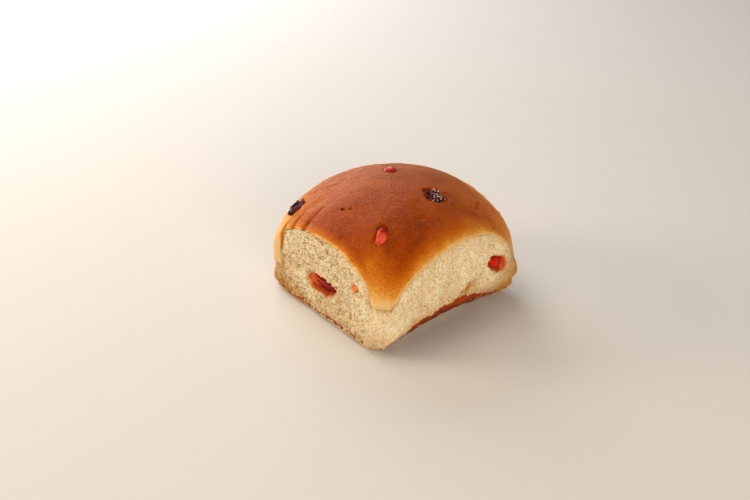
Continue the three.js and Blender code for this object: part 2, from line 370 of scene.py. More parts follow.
TORN_SIDES = {
    Face.FRONT_RIGHT: TornSide(9.4, 1.6, 1.0, 2.0, 3.0, 13.0, 1.0, 3.2, 9.4, -2.0, 0.3),
    Face.BACK_RIGHT: TornSide(5.0, 0.4, -0.5, 5.0, 6.0, 10.0, 0.8, 2.6, 4.0, 5.0, 0.6),
    Face.BACK_LEFT: TornSide(3.0, 0.6, 0.5, 4.0, 9.0, 7.0, 0.7, 2.2, 3.0, -4.0, 0.8),
    Face.FRONT_LEFT: TornSide(0.0, 1.5, 0.2, 12.0, 7.8, 6.0, 0.8, 2.2, 0.6, 0.0, 1.0),
}


@dataclass(frozen=True)
class Tongue:
    """The tongue of skin that hangs over one corner, in millimetres."""

    lip: float          # height of its tip
    fade: float         # over what distance from its tip it turns brown
    overhang: float     # how far its edge stands out from the crumb
    seam: float         # painted shade: how brown its upright edges are, in the crease beside the crumb
    spread: float       # how far along the torn sides its pale still shows
    brown_by: float     # how far up from its tip it is brown at the latest


TONGUES = {
    (1, 1): Tongue(19.5, 42.0, 0.5, 0.0, 9.0, 34.0),
    (-1, 1): Tongue(17.0, 38.0, 0.5, 0.0, 9.0, 34.0),
    (-1, -1): Tongue(12.2, 260.0, 0.15, 0.35, 13.0, 56.0),
    (1, -1): Tongue(23.3, 24.0, 0.7, 0.0, 9.0, 32.0),
}


def by_corner(bearing: Array, name: str) -> Array:
    """Blends one of the tongues' values between the four corners.

    Args:
        bearing: The bearings.
        name: The name of the value.

    Returns:
        The value along each bearing.
    """
    total = np.zeros(len(bearing))
    for (east, north), tongue in TONGUES.items():
        near = 1 + np.clip(east * math.sqrt(2) * np.cos(bearing), -1, 1)
        near = near * (1 + np.clip(north * math.sqrt(2) * np.sin(bearing), -1, 1)) / 4
        total += near * getattr(tongue, name)
    return total


def by_side(bearing: Array, name: str) -> Array:
    """One of the torn sides' values along each bearing, with a sharp change at the corners."""
    values = np.array([getattr(side, name) for side in TORN_SIDES.values()])
    return values[np.round(bearing / (math.pi / 2)).astype(int) % 4]


def blended_by_side(bearing: Array, name: str) -> Array:
    """Blends one of the torn sides' values round the corners.

    Args:
        bearing: The bearings.
        name: The name of the value.

    Returns:
        The value along each bearing.
    """
    total = np.zeros(len(bearing))
    weight = np.zeros(len(bearing))
    for face, side in TORN_SIDES.items():
        near = np.maximum(0, np.cos(bearing - face.bearing)) ** 8
        total += near * getattr(side, name)
        weight += near
    return total / weight


def off_middle(bearing: Array) -> Array:
    """The angle from the middle of the nearest torn side."""
    return bearing - np.round(bearing / (math.pi / 2)) * math.pi / 2


def corner_share(bearing: Array) -> Array:
    """1 at the corners, falling smoothly to 0 along the torn sides."""
    return np.abs(np.sin(2 * bearing)) ** 16


@dataclass(frozen=True)
class BunForm:
    """The form that skin, crumb and base share: a dome with its four sides torn off."""

    half_width: float = 39.4    # from the middle to each torn side
    crown: float = 53.0         # base to the top of the dome
    waist: float = 16.8         # level at which the skin reaches furthest out
    waist_radius: float = 52.9  # that reach, measured to the corners
    base_tuck: float = 4.0      # how much the corners draw in from the waist to the base
    tuck_height: float = 16.0   # level below which a torn side curls in to the base
    tuck_fade: float = 0.35     # share of that curl which is lost towards a side's ends
    lip_blend: float = 4.0
    tongue_slope: float = 2.0   # over half what width a tongue's side rises to the arch
    tip_drop: float = 1.0       # the tip of each tongue is this much lower in its middle
    overhang_least: float = 0.05    # how far the skin's edge stands out away from the tongues
    overhang_shift: float = math.radians(8)     # how far past the corner it stands out most
    overhang_spread: float = math.radians(13)
    recess: float = 1.4         # depth of the groove under that edge, for each mm it stands out
    recess_height: float = 1.6
    recess_beside: float = 1.4  # how far the groove beside a tongue lies from it
    recess_width: float = 1.2   # half the width of that groove
    swell: float = 1.2          # the corners' crumb bulges past the skin below its lip
    lumps: tuple[Wave, ...] = (Wave(1.1, 8.5, 7.7), Wave(0.5, 4.25, 1.3))   # soft, in the crumb
    dimples: tuple[Wave, ...] = (Wave(0.7, 17.0, 3.1),)     # broad, in the skin
    crust_edge: tuple[Wave, ...] = (Wave(0.9, 7.0, 4.6), Wave(0.6, 2.3, 6.1))
    crust_least: float = 0.8    # the base crust climbs at least this high
    peak_width: float = 26.0    # half the length over which the base crust climbs highest
    crust_depth: float = 0.6    # the crumb lies this much deeper under the base crust

    @property
    def rise(self) -> float:
        """Height of the dome above its waist."""
        return self.crown - self.waist

    def body_reach(self, height: Array) -> Array:
        """How far the round body reaches out at a height, before its sides are torn off.

        Args:
            height: The height of each place, in millimetres.

        Returns:
            Its reach from the middle, in millimetres.
        """
        above = self.waist_radius * np.sqrt(np.maximum(0, 1 - ((height - self.waist) / self.rise) ** 2))
        below = self.waist_radius - self.base_tuck * (1 - height / self.waist) ** 2
        return np.where(height < self.waist, below, above)

    def torn_reach(self, bearing: Array, height: Array) -> Array:
        """How far out the torn sides lie, with their feet tucked in.

        Args:
            bearing: The bearing of each place.
            height: The height of each place, in millimetres.

        Returns:
            Their reach from the middle, in millimetres.
        """
        tuck = np.clip(1 - height / self.tuck_height, 0, 1) ** 2
        angle = off_middle(bearing)
        foot = by_side(bearing, "undercut") * (1 - self.tuck_fade * np.tan(angle) ** 2)
        return (self.half_width - foot * tuck) / np.cos(angle)

    def past_tongue(self, bearing: Array) -> Array:
        """How far along its torn side each bearing lies from the nearest tongue.

        Args:
            bearing: The bearing of each place.

        Returns:
            The distance in millimetres, which is below 0 on the tongue.
        """
        along = np.tan(off_middle(bearing))
        reach = np.where(along < 0, by_side(bearing, "tongue_before"), by_side(bearing, "tongue_after"))
        return self.half_width * (1 - np.abs(along)) - reach

    def arch_height(self, bearing: Array) -> Array:
        """Height at which a torn side cuts the dome.

        Args:
            bearing: The bearing of each place.

        Returns:
            That height, in millimetres.
        """
        angle = off_middle(bearing)
        along = np.tan(angle)
        across = self.half_width / np.cos(angle) / self.waist_radius
        cut = self.waist + self.rise * np.sqrt(np.maximum(0, 1 - across ** 2))
        sag = by_side(bearing, "sag") * np.cos(along * math.pi / 2)
        return cut - sag + by_side(bearing, "tilt") * np.sin(along * math.pi)

    def edge_height(self, bearing: Array) -> Array:
        """Height of the skin's edge: the arch over a torn side, or the lip of a tongue.

        Args:
            bearing: The bearing of each place.

        Returns:
            That height, in millimetres.
        """
        lip = by_corner(bearing, "lip") - self.tip_drop * np.abs(np.sin(2 * bearing)) ** 60
        share = smooth_step(self.past_tongue(bearing), -self.tongue_slope, self.tongue_slope)
        low = lip - self.lip_blend
        return soft_max(low + (self.arch_height(bearing) - low) * share, lip, self.lip_blend)

    def round_ring(self, bearing: Array) -> Array:
        """Places on a level ring, on which the waves of an edge are read."""
        return np.column_stack((np.cos(bearing), np.sin(bearing), 0 * bearing)) * self.half_width

    def crust_climb(self, bearing: Array) -> Array:
        """Height that the crust of the base reaches on the torn sides.

        Args:
            bearing: The bearing of each place.

        Returns:
            That height, in millimetres.
        """
        along = self.half_width * np.tan(off_middle(bearing)) - by_side(bearing, "crust_shift")
        peak = by_side(bearing, "crust_peak") * np.exp(-(np.abs(along / self.peak_width) ** 2.5))
        peak = peak * (1 - np.abs(np.sin(2 * bearing)) ** 30)
        climb = blended_by_side(bearing, "crust_low") + peak
        return np.maximum(self.crust_least, climb + summed(self.round_ring(bearing), self.crust_edge))

    def dome_angle(self, height: Array) -> Array:
        """Angle from the crown down the dome at which a height is reached.

        Args:
            height: The height of each place, in millimetres.

        Returns:
            The angle, which goes on past a quarter turn below the waist.
        """
        below = math.pi / 2 + (self.waist - height) / self.rise
        above = np.arccos(np.clip((height - self.waist) / self.rise, -1, 1))
        return np.where(height < self.waist, below, above)

    def dome_height(self, angle: Array) -> Array:
        """Height at an angle from the crown down the dome."""
        below = self.waist - (angle - math.pi / 2) * self.rise
        return np.where(angle > math.pi / 2, below, self.waist + self.rise * np.cos(angle))

    def dome_outward(self, points: Array) -> Array:
        """The outward direction of the dome at each place.

        Args:
            points: The places, in millimetres.

        Returns:
            A direction for each place, one long.
        """
        outward = points / self.waist_radius ** 2
        outward[:, 2] = np.maximum(0, points[:, 2] - self.waist) / self.rise ** 2
        return outward / np.linalg.norm(outward, axis=1)[:, None]

    def edge_overhang(self, bearing: Array) -> Array:
        """How far the skin's edge stands out from the crumb, most just right of each tongue.

        Args:
            bearing: The bearing of each place.

        Returns:
            That distance, in millimetres.
        """
        off_tongue = off_middle(bearing - math.pi / 4 - self.overhang_shift)
        most = by_corner(bearing, "overhang")
        near = np.exp(-((off_tongue / self.overhang_spread) ** 2))
        return self.overhang_least + (most - self.overhang_least) * near

    def groove(self, bearing: Array, height: Array) -> Array:
        """How far each place lies in the groove under the skin's edge and beside a tongue.

        Args:
            bearing: The bearing of each place.
            height: The height of each place, in millimetres.

        Returns:
            1 in the groove, and 0 away from it.
        """
        below = self.edge_height(bearing) - height
        lip = by_corner(bearing, "lip")
        off = (self.past_tongue(bearing) - self.recess_beside) / self.recess_width
        beside = np.exp(-(off ** 2)) * smooth_step(below, 0, 4)
        beside = beside * smooth_step(height, lip - 2, lip + 2)
        return np.maximum(np.exp(-((below / self.recess_height) ** 2)), beside)

    def skin_points(self, bearing: Array, spread: Array, ragged: Array) -> Array:
        """Places on the skin.

        Args:
            bearing: The bearing of each place.
            spread: 0 at the crown and 1 at the skin's edge.
            ragged: How much lower than its rule the edge hangs, in millimetres.

        Returns:
            The places, in millimetres.
        """
        edge = self.edge_height(bearing) - ragged
        height = self.dome_height(self.dome_angle(edge) * spread)
        outside = self.torn_reach(bearing, height) + self.edge_overhang(bearing)
        reach = soft_min(self.body_reach(height), outside, 1.0)
        points = np.column_stack((reach * np.cos(bearing), reach * np.sin(bearing), height))
        return points + self.dome_outward(points) * summed(points, self.dimples)[:, None]

    def crumb_points(self, bearing: Array, height: Array) -> Array:
        """Places on the torn crumb, with its soft lumps but no pores.

        Args:
            bearing: The bearing of each place.
            height: The height of each place, in millimetres.

        Returns:
            The places, in millimetres.
        """
        below = self.edge_height(bearing) - height
        reach = soft_min(self.body_reach(height), self.torn_reach(bearing, height), 1.0)
        points = np.column_stack((reach * np.cos(bearing), reach * np.sin(bearing), height))
        corner = np.abs(np.sin(2 * bearing)) ** 8
        relief = self.swell * corner * (1 - np.exp(-((below / 4) ** 2)))
        relief += summed(points, self.lumps)
        relief -= self.recess * self.edge_overhang(bearing) * self.groove(bearing, height)
        relief *= np.clip(height / 5, 0, 1)
        relief -= self.crust_depth * (1 - smooth_step(height - self.crust_climb(bearing), -0.8, 0.2))
        reach = (reach + relief)[:, None]
        flat = np.column_stack((np.cos(bearing), np.sin(bearing))) * reach
        return np.column_stack((flat, height))

    def down_dome(self, low: Array, high: Array) -> Array:
        """How far it is down the dome from one height to a lower one."""
        return (self.dome_angle(low) - self.dome_angle(high)) * 0.5 * (self.rise + self.waist_radius)

    def edge_distance(self, bearing: Array, height: Array) -> Array:
        """How far a place on the skin lies from the skin's edge, down the dome."""
        return self.down_dome(self.edge_height(bearing), height)

    def beside_distance(self, bearing: Array, height: Array) -> Array:
        """How far a place on a tongue lies from its upright edge, and far more above the tongue.

        Args:
            bearing: The bearing of each place.
            height: The height of each place, in millimetres.

        Returns:
            The distance in millimetres, which is large off the tongues.
        """
        inside = 1 - self.past_tongue(bearing)
        above = np.maximum(0, height - self.arch_height(bearing))
        return np.where(inside > 0, inside + 3 * above, 99.0)


FORM = BunForm()


# ---- places on the bun ----

@dataclass(frozen=True)
class Seat:
    """Where a piece or a mark sits on the bun: its middle and its three directions."""

    middle: Array
    lengthwise: Array
    widthwise: Array
    outward: Array

    @classmethod
    def at(cls, face: Face, middle: Array, turn: float) -> "Seat":
        """Makes a seat.

        Args:
            face: What the piece is set in.
            middle: The middle of the piece, in millimetres.
            turn: Degrees from level to its length, seen from outside.

        Returns:
            The seat.
        """
        if face is Face.SKIN:
            outward = FORM.dome_outward(middle[None, :])[0]
        else:
            outward = np.array([math.cos(face.bearing), math.sin(face.bearing), 0.0])
        level = np.cross((0.0, 0.0, 1.0), outward)
        level /= np.linalg.norm(level)
        upward = np.cross(outward, level)
        angle = math.radians(turn)
        lengthwise = level * math.cos(angle) + upward * math.sin(angle)
        return cls(middle, lengthwise, np.cross(outward, lengthwise), outward)

    def local(self, points: Array) -> Array:
        """Places as lengths along, across and out of the seat."""
        basis = np.column_stack((self.lengthwise, self.widthwise, self.outward))
        return (points - self.middle) @ basis

    @property
    def matrix(self) -> Matrix:
        """The turn and the place of the seat, in metres."""
        basis = np.column_stack((self.lengthwise, self.widthwise, self.outward))
        return Matrix.Translation(Vector(self.middle) * MM) @ Matrix(basis.tolist()).to_4x4()


@dataclass(frozen=True)
class Mark:
    """A hollow, slit or crease, or the pit of a piece of fruit, in millimetres."""

    seat: Seat
    length: float
    width: float
    depth: float

    @classmethod
    def on_skin(cls, x: float, y: float, sizes: tuple[float, float, float], turn: float) -> "Mark":
        """A mark on the skin above (x, y)."""
        height = FORM.waist + FORM.rise * math.sqrt(1 - (x * x + y * y) / FORM.waist_radius ** 2)
        return cls(Seat.at(Face.SKIN, np.array([x, y, height]), turn), *sizes)

    @classmethod
    def on_side(
        cls, face: Face, along: float, height: float, sizes: tuple[float, float, float], turn: float,
    ) -> "Mark":
        """Makes a mark on a torn side.

        Args:
            face: The torn side.
            along: How far its middle lies from the middle of the side.
            height: How high its middle lies.
            sizes: Its length, width and depth.
            turn: Degrees from level to its length.

        Returns:
            The mark.
        """
        east = math.cos(face.bearing) * FORM.half_width - math.sin(face.bearing) * along
        north = math.sin(face.bearing) * FORM.half_width + math.cos(face.bearing) * along
        return cls(Seat.at(face, np.array([east, north, height]), turn), *sizes)

    def roundness(self, points: Array) -> Array:
        """How far out from the middle of the mark each place lies.

        Args:
            points: The places, in millimetres.

        Returns:
            0 at the middle, 1 on the outline, and more beyond.
        """
        local = self.seat.local(points)
        round_ = np.hypot(2 * local[:, 0] / self.length, 2 * local[:, 1] / self.width)
        return np.where(np.abs(local[:, 2]) < 12, round_, 9.0)

    def share(self, points: Array, softness: float, ragged: float = 0.0) -> Array:
        """How much of the mark's depth each place has.

        Args:
            points: The places, in millimetres.
            softness: How gently its walls fall: 0.5 is a round pit and 2 a soft dip.
            ragged: How uneven its outline is.

        Returns:
            0 outside the mark, and up to 1 in its middle.
        """
        round_ = self.roundness(points) + ragged * waves(points, 2.2, 5.8)
        return np.clip(1 - np.maximum(0, round_) ** 2, 0, 1) ** softness


@dataclass(frozen=True)
class Morsel:
    """A raisin or a piece of candied cherry, which fills the box of its own solid."""

    node: str
    face: Face
    length: float
    width: float
    depth: float
    turn: float

    @property
    def box(self) -> tuple[Array, Array]:
        """The lowest and highest corner of its solid, in millimetres."""
        low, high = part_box(self.node)
        return np.array(low) / MM, np.array(high) / MM

    @property
    def radii(self) -> tuple[float, float, float]:
        """Half its length, width and depth."""
        return self.length / 2, self.width / 2, self.depth / 2

    @property
    def seat(self) -> Seat:
        """Where it sits."""
        low, high = self.box
        return Seat.at(self.face, (low + high) / 2, self.turn)

    def pit(self, spare: float, depth: float) -> Mark:
        """The pit that it sits in, wider than the piece by a spare margin all round."""
        seat = self.seat
        return Mark(seat, self.length + 2 * spare, self.width + 2 * spare, depth)


RAISIN_LEFT = Morsel("raisin_left", Face.SKIN, 11.4, 6.4, 5.2, 118)
RAISIN_RIGHT = Morsel("raisin_right", Face.SKIN, 13.0, 11.0, 5.6, -72)
CHERRY_FRONT = Morsel("cherry_front", Face.SKIN, 9.4, 5.6, 4.2, 80)
CHERRY_BACK = Morsel("cherry_back", Face.SKIN, 7.0, 6.0, 3.6, 70)
CHERRY_LEFT_FACE = Morsel("cherry_left_face", Face.FRONT_LEFT, 18.4, 6.0, 5.0, 0)
CHERRY_LEFT_SMALL = Morsel("cherry_left_small", Face.FRONT_LEFT, 3.8, 3.4, 3.0, 20)
CHERRY_RIGHT_FACE = Morsel("cherry_right_face", Face.FRONT_RIGHT, 11.0, 6.2, 4.6, -32)


# ---- finishes ----

@dataclass(frozen=True)
class BrownedSkinFinish:
    """Enriched dough browned in the oven and brushed with butter.

    It gives the eye a satin brown that pales to gold and cream where a neighbour shaded it,
    with a fine leathery grain that catches a broad soft sheen.
    """

    # The paler left shoulder is painted sheen; darker fold grooves, slits and gaps are painted shade.
    rim: str = "#d8b882"
    pale: str = "#d39a48"
    gold: str = "#c27a25"
    amber: str = "#b05f0c"
    brown: str = "#a04a04"
    deep: str = "#8f3802"
    dark: str = "#722a02"
    # stain colours cherry juice round the cherries, and is painted shade in the slits and gaps
    stain: str = "#5a1204"
    glaze: str = "#ffa050"      # the butter that tints its shine
    bloom: str = "#ffaa58"      # the soft light on its finest fuzz
    grain_mm: float = 0.6       # the fine leathery grain of the skin
    pucker_mm: float = 1.2      # the soft puckers between
    mottle_mm: float = 4.5      # patches of uneven browning
    roughness: float = 0.5
    bump_mm: float = 0.64

    def material(self) -> bpy.types.Material:
        """Makes the skin's material, which reads how brown each place is, with its painted light.

        Returns:
            The material.
        """
        material, tree = new_material("browned_dough_skin_buttered")
        place = add_node(tree, "TexCoord").outputs["Object"]
        browning_with_painted_light = add_node(tree, "Attribute", attribute_name="browning_with_painted_light").outputs["Fac"]
        stain = add_node(tree, "Attribute", attribute_name="stain").outputs["Fac"]
        mottle = add_node(tree, "TexNoise", {
            "Vector": place, "Scale": 1 / (self.mottle_mm * MM), "Detail": 4.0, "Roughness": 0.6,
        })
        grain = add_node(tree, "TexNoise", {
            "Vector": place, "Scale": 1 / (self.grain_mm * MM), "Detail": 3.0, "Roughness": 0.65,
        })
        pucker = add_node(tree, "TexNoise", {
            "Vector": place, "Scale": 1 / (self.pucker_mm * MM), "Detail": 2.0, "Distortion": 0.8,
        })
        patches = add_node(tree, "Math", {0: mottle.outputs["Fac"], 1: 0.5}, operation="SUBTRACT")
        specks = add_node(tree, "Math", {0: grain.outputs["Fac"], 1: 0.5}, operation="SUBTRACT")
        mixed = add_node(tree, "Math", {
            0: specks.outputs[0], 1: 2.6, 2: patches.outputs[0],
        }, operation="MULTIPLY_ADD")
        strength = add_node(tree, "MapRange", {
            "Value": browning_with_painted_light, "From Max": 0.5, "To Min": 0.05, "To Max": 0.42,
        })
        level = add_node(tree, "Math", {
            0: mixed.outputs[0], 1: strength.outputs[0], 2: browning_with_painted_light,
        }, operation="MULTIPLY_ADD")
        ramp = add_node(tree, "ValToRGB", {"Fac": level.outputs[0]}, stops={
            0.0: self.rim, 0.07: self.pale, 0.15: self.gold, 0.3: self.amber, 0.5: self.brown,
            0.8: self.deep, 1.0: self.dark,
        })
        # Mixes in cherry juice, and the painted shade of the slits and gaps.
        colour = add_node(tree, "Mix", {
            0: stain, 6: ramp.outputs["Color"], 7: linear(self.stain),
        }, data_type="RGBA")
        rough = add_node(tree, "Math", {
            0: specks.outputs[0], 1: 0.4, 2: self.roughness,
        }, operation="MULTIPLY_ADD")
        relief = add_node(tree, "Math", {
            0: pucker.outputs["Fac"], 1: 1.4, 2: grain.outputs["Fac"],
        }, operation="MULTIPLY_ADD")
        bump = add_node(tree, "Bump", {
            "Height": relief.outputs[0], "Strength": 0.6, "Distance": self.bump_mm * MM,
        })
        shader = add_node(tree, "BsdfPrincipled", {
            "Base Color": colour.outputs[2],
            "Roughness": rough.outputs[0],
            "Normal": bump.outputs[0],
            "IOR": 1.45,
            "Specular IOR Level": 0.25,
            "Specular Tint": linear(self.glaze),
            "Sheen Weight": 0.4,
            "Sheen Roughness": 0.4,
            "Sheen Tint": linear(self.bloom),
        })
        show_surface(tree, shader)
        return material


@dataclass(frozen=True)
class CrumbFinish:
    """Soft white-flour crumb, torn open.

    It gives the eye a matt cream that light sinks into, with painted shade in its olive pores,
    hollows and far ends, a darker tone low down, and orange and red juice where a cherry touches it.
    """

    thread: str = "#fff6dc"     # the curled threads between the pores, where the light catches them
    flour: str = "#fbe6b6"
    # olive and pore are painted shade, in the shallow and the deep pores
    olive: str = "#d4b478"
    pore: str = "#86683a"
    # painted shade under the skin's edge, in the hollows and at the far ends, and a darker tone low down
    shade: str = "#c49450"
    juice: str = "#cc5a14"
    syrup: str = "#8a1606"
    curl_mm: float = 2.4        # how far apart the threads lie
    fine_curl_mm: float = 1.1
    fluff_mm: float = 0.8       # the fluff that they are buried in
    bump_mm: float = 0.6

    def material(self) -> bpy.types.Material:
        """Makes the crumb's material, which reads its pores, its stains and its painted shade and tone.

        Returns:
            The material.
        """
        material, tree = new_material("torn_wheat_crumb")
        place = add_node(tree, "TexCoord").outputs["Object"]
        pore, stain, painted_shade_and_tone, coarse = (
            add_node(tree, "Attribute", attribute_name=name).outputs["Fac"]
            for name in ("pore", "stain", "painted_shade_and_tone", "coarse")
        )
        hidden = self.between_threads(tree, place)
        contrast = add_node(tree, "MapRange", {"Value": coarse, "To Min": 1.1, "To Max": 1.6})
        middle = add_node(tree, "MapRange", {"Value": coarse, "To Min": -0.04, "To Max": -0.06})
        uneven = add_node(tree, "Math", {
            0: hidden.outputs[0], 1: contrast.outputs[0], 2: middle.outputs[0],
        }, operation="MULTIPLY_ADD")
        # The pores and the fluff between the threads are painted shade, the threads painted highlight.
        level = add_node(tree, "Math", {0: uneven.outputs[0], 1: pore}, operation="ADD")
        porous = add_node(tree, "ValToRGB", {"Fac": level.outputs[0]}, stops={
            0.0: self.thread, 0.3: self.flour, 0.65: self.olive, 1.0: self.pore,
        })
        # Multiplies in the painted shade and the darker tone.
        with_shade_and_tone = add_node(tree, "Mix", {
            0: painted_shade_and_tone, 6: porous.outputs["Color"], 7: linear(self.shade),
        }, data_type="RGBA", blend_type="MULTIPLY")
        wet = add_node(tree, "ValToRGB", {"Fac": stain}, stops={
            0.0: self.flour, 0.4: self.juice, 0.85: self.syrup,
        })
        wetness = add_node(tree, "MapRange", {"Value": stain, "From Min": 0.0, "From Max": 0.5})
        colour = add_node(tree, "Mix", {
            0: wetness.outputs[0], 6: with_shade_and_tone.outputs[2], 7: wet.outputs["Color"],
        }, data_type="RGBA")
        bump = add_node(tree, "Bump", {
            "Height": level.outputs[0], "Strength": 0.8, "Distance": self.bump_mm * MM,
        }, invert=True)
        shader = add_node(tree, "BsdfPrincipled", {
            "Base Color": colour.outputs[2],
            "Roughness": 0.88,
            "Normal": bump.outputs[0],
            "IOR": 1.4,
            "Specular IOR Level": 0.2,
            "Subsurface Weight": 0.15,
            "Subsurface Radius": (1.0, 0.6, 0.3),
            "Subsurface Scale": 0.6 * MM,
        })
        show_surface(tree, shader)
        return material

    def between_threads(self, tree: bpy.types.NodeTree, place: bpy.types.NodeSocket) -> bpy.types.Node:
        """Adds the curled threads of the torn crumb.

        Args:
            tree: The material's tree.
            place: The place on the crumb.

        Returns:
            A node whose output is low on the threads and high in the fluff, painted as highlight and shade.
        """
        fluff = add_node(tree, "TexNoise", {
            "Vector": place, "Scale": 1 / (self.fluff_mm * MM), "Detail": 3.0, "Roughness": 0.7,
        })
        hidden = add_node(tree, "Math", {
            0: fluff.outputs["Fac"], 1: -1.6, 2: 1.2,
        }, operation="MULTIPLY_ADD")
        for size, weight in ((self.curl_mm, -0.5), (self.fine_curl_mm, -0.4)):
            sheet = add_node(tree, "TexNoise", {
                "Vector": place, "Scale": 1 / (size * MM), "Detail": 2.0, "Distortion": 0.6,
            })
            thread = add_node(tree, "ValToRGB", {"Fac": sheet.outputs["Fac"]}, stops={
                0.43: "#000000", 0.5: "#ffffff", 0.57: "#000000",
            })
            hidden = add_node(tree, "Math", {
                0: thread.outputs["Color"], 1: weight, 2: hidden.outputs[0],
            }, operation="MULTIPLY_ADD")
        return hidden


@dataclass(frozen=True)
class BaseCrustFinish:
    """The underside of the dough, baked dark against a greased tin.

    It gives the eye a dry red-brown crust, paler and more orange where it thins out.
    """

    thin: str = "#9c400a"
    baked: str = "#702202"
    scorched: str = "#3c0f02"
    blotch_mm: float = 4.0
    grain_mm: float = 0.8

    def material(self) -> bpy.types.Material:
        """Makes the material of the base.

        Returns:
            The material.
        """
        material, tree = new_material("tin_baked_crust")
        place = add_node(tree, "TexCoord").outputs["Object"]
        rim = add_node(tree, "Attribute", attribute_name="rim").outputs["Fac"]
        blotch = add_node(tree, "TexNoise", {
            "Vector": place, "Scale": 1 / (self.blotch_mm * MM), "Detail": 4.0, "Roughness": 0.6,
        })
        grain = add_node(tree, "TexNoise", {
            "Vector": place, "Scale": 1 / (self.grain_mm * MM), "Detail": 3.0, "Roughness": 0.7,
        })
        level = add_node(tree, "Math", {
            0: rim, 1: -0.55, 2: blotch.outputs["Fac"],
        }, operation="MULTIPLY_ADD")
        ramp = add_node(tree, "ValToRGB", {"Fac": level.outputs[0]}, stops={
            0.0: self.thin, 0.25: self.baked, 0.55: self.scorched,
        })
        bump = add_node(tree, "Bump", {
            "Height": grain.outputs["Fac"], "Strength": 0.8, "Distance": 0.25 * MM,
        })
        shader = add_node(tree, "BsdfPrincipled", {
            "Base Color": ramp.outputs["Color"],
            "Roughness": 0.62,
            "Normal": bump.outputs[0],
            "IOR": 1.45,
            "Specular IOR Level": 0.12,
        })
        show_surface(tree, shader)
        return material


@dataclass(frozen=True)
class RaisinFinish:
    """Sun-dried grape, glazed by the syrup of the dough.

    It gives the eye a near black purple-brown skin, with sharp wet lights on its wrinkles.
    """

    skin: str = "#1e0508"
    ridge: str = "#5c1a18"
    shine: str = "#ff9a8c"
    grain_mm: float = 0.7

    def material(self) -> bpy.types.Material:
        """Makes the raisins' material, which reads how high each place on the wrinkles is.

        Returns:
            The material.
        """
        material, tree = new_material("glazed_dried_grape")
        place = add_node(tree, "TexCoord").outputs["Object"]
        crest = add_node(tree, "Attribute", attribute_name="crest").outputs["Fac"]
        grain = add_node(tree, "TexNoise", {
            "Vector": place, "Scale": 1 / (self.grain_mm * MM), "Detail": 3.0, "Roughness": 0.6,
        })
        level = add_node(tree, "Math", {0: crest, 1: grain.outputs["Fac"]}, operation="MULTIPLY")
        ramp = add_node(tree, "ValToRGB", {"Fac": level.outputs[0]}, stops={
            0.1: self.skin, 0.75: self.ridge,
        })
        bump = add_node(tree, "Bump", {
            "Height": grain.outputs["Fac"], "Strength": 0.5, "Distance": 0.15 * MM,
        })
        shader = add_node(tree, "BsdfPrincipled", {
            "Base Color": ramp.outputs["Color"],
            "Roughness": 0.28,
            "Normal": bump.outputs[0],
            "IOR": 1.45,
            "Specular IOR Level": 0.3,
            "Specular Tint": linear(self.shine),
            "Coat Weight": 0.12,
            "Coat Roughness": 0.05,
        })
        show_surface(tree, shader)
        return material


@dataclass(frozen=True)
class CandiedCherryFinish:
    """Cherry flesh steeped in syrup and cut.

    It gives the eye a wet jelly, with painted shade deep red in its valleys, and brighter where it is thin.
    """

    name: str
    # deep and bright are painted shade in the valleys and painted highlight on the crests
    deep: str
    bright: str
    thin: str               # colour of the end that light shines through
    shine: str = "#ff8a60"  # the syrup that tints its wet lights
    vein_mm: float = 1.3

    def material(self) -> bpy.types.Material:
        """Makes the material of one piece of cherry, which reads its crests and its thin end.

        Returns:
            The material.
        """
        material, tree = new_material(f"syrup_steeped_cherry_{self.name}")
        place = add_node(tree, "TexCoord").outputs["Object"]
        crest = add_node(tree, "Attribute", attribute_name="crest").outputs["Fac"]
        thinness = add_node(tree, "Attribute", attribute_name="thinness").outputs["Fac"]
        vein = add_node(tree, "TexNoise", {
            "Vector": place, "Scale": 1 / (self.vein_mm * MM), "Detail": 3.0, "Roughness": 0.6,
        })
        # Painted shade and highlight: deep red down in the valleys, bright on the crests.
        level = add_node(tree, "Math", {
            0: crest, 1: 0.6, 2: vein.outputs["Fac"],
        }, operation="MULTIPLY_ADD")
        ramp = add_node(tree, "ValToRGB", {"Fac": level.outputs[0]}, stops={
            0.45: self.deep, 1.0: self.bright,
        })
        colour = add_node(tree, "Mix", {
            0: thinness, 6: ramp.outputs["Color"], 7: linear(self.thin),
        }, data_type="RGBA")
        bump = add_node(tree, "Bump", {
            "Height": vein.outputs["Fac"], "Strength": 0.5, "Distance": 0.25 * MM,
        })
        shader = add_node(tree, "BsdfPrincipled", {
            "Base Color": colour.outputs[2],
            "Roughness": 0.34,
            "Normal": bump.outputs[0],
            "IOR": 1.45,
            "Specular IOR Level": 0.2,
            "Specular Tint": linear(self.shine),
            "Subsurface Weight": 0.2,
            "Subsurface Radius": (1.0, 0.25, 0.1),
            "Subsurface Scale": 1.0 * MM,
            "Coat Weight": 0.07,
            "Coat Roughness": 0.08,
        })
        show_surface(tree, shader)
        return material


@dataclass(frozen=True)
class SugarFinish:
    """Coarse sugar crystals, clear and sharp edged, which give the eye small white glints."""

    clear: str = "#f6efe8"
    clouded: str = "#d9c4b8"
    frost_mm: float = 0.3

    def material(self) -> bpy.types.Material:
        """Makes the material of the sugar grains.

        Returns:
            The material.
        """
        material, tree = new_material("crystal_sugar")
        place = add_node(tree, "TexCoord").outputs["Object"]
        frost = add_node(tree, "TexNoise", {
            "Vector": place, "Scale": 1 / (self.frost_mm * MM), "Detail": 1.0,
        })
        ramp = add_node(tree, "ValToRGB", {"Fac": frost.outputs["Fac"]}, stops={
            0.3: self.clouded, 0.7: self.clear,
        })
        shader = add_node(tree, "BsdfPrincipled", {
            "Base Color": ramp.outputs["Color"],
            "Roughness": 0.12,
            "IOR": 1.56,
            "Subsurface Weight": 0.3,
            "Subsurface Radius": (1.0, 1.0, 1.0),
            "Subsurface Scale": 0.4 * MM,
        })
        show_surface(tree, shader)
        return material


# ---- skin ----

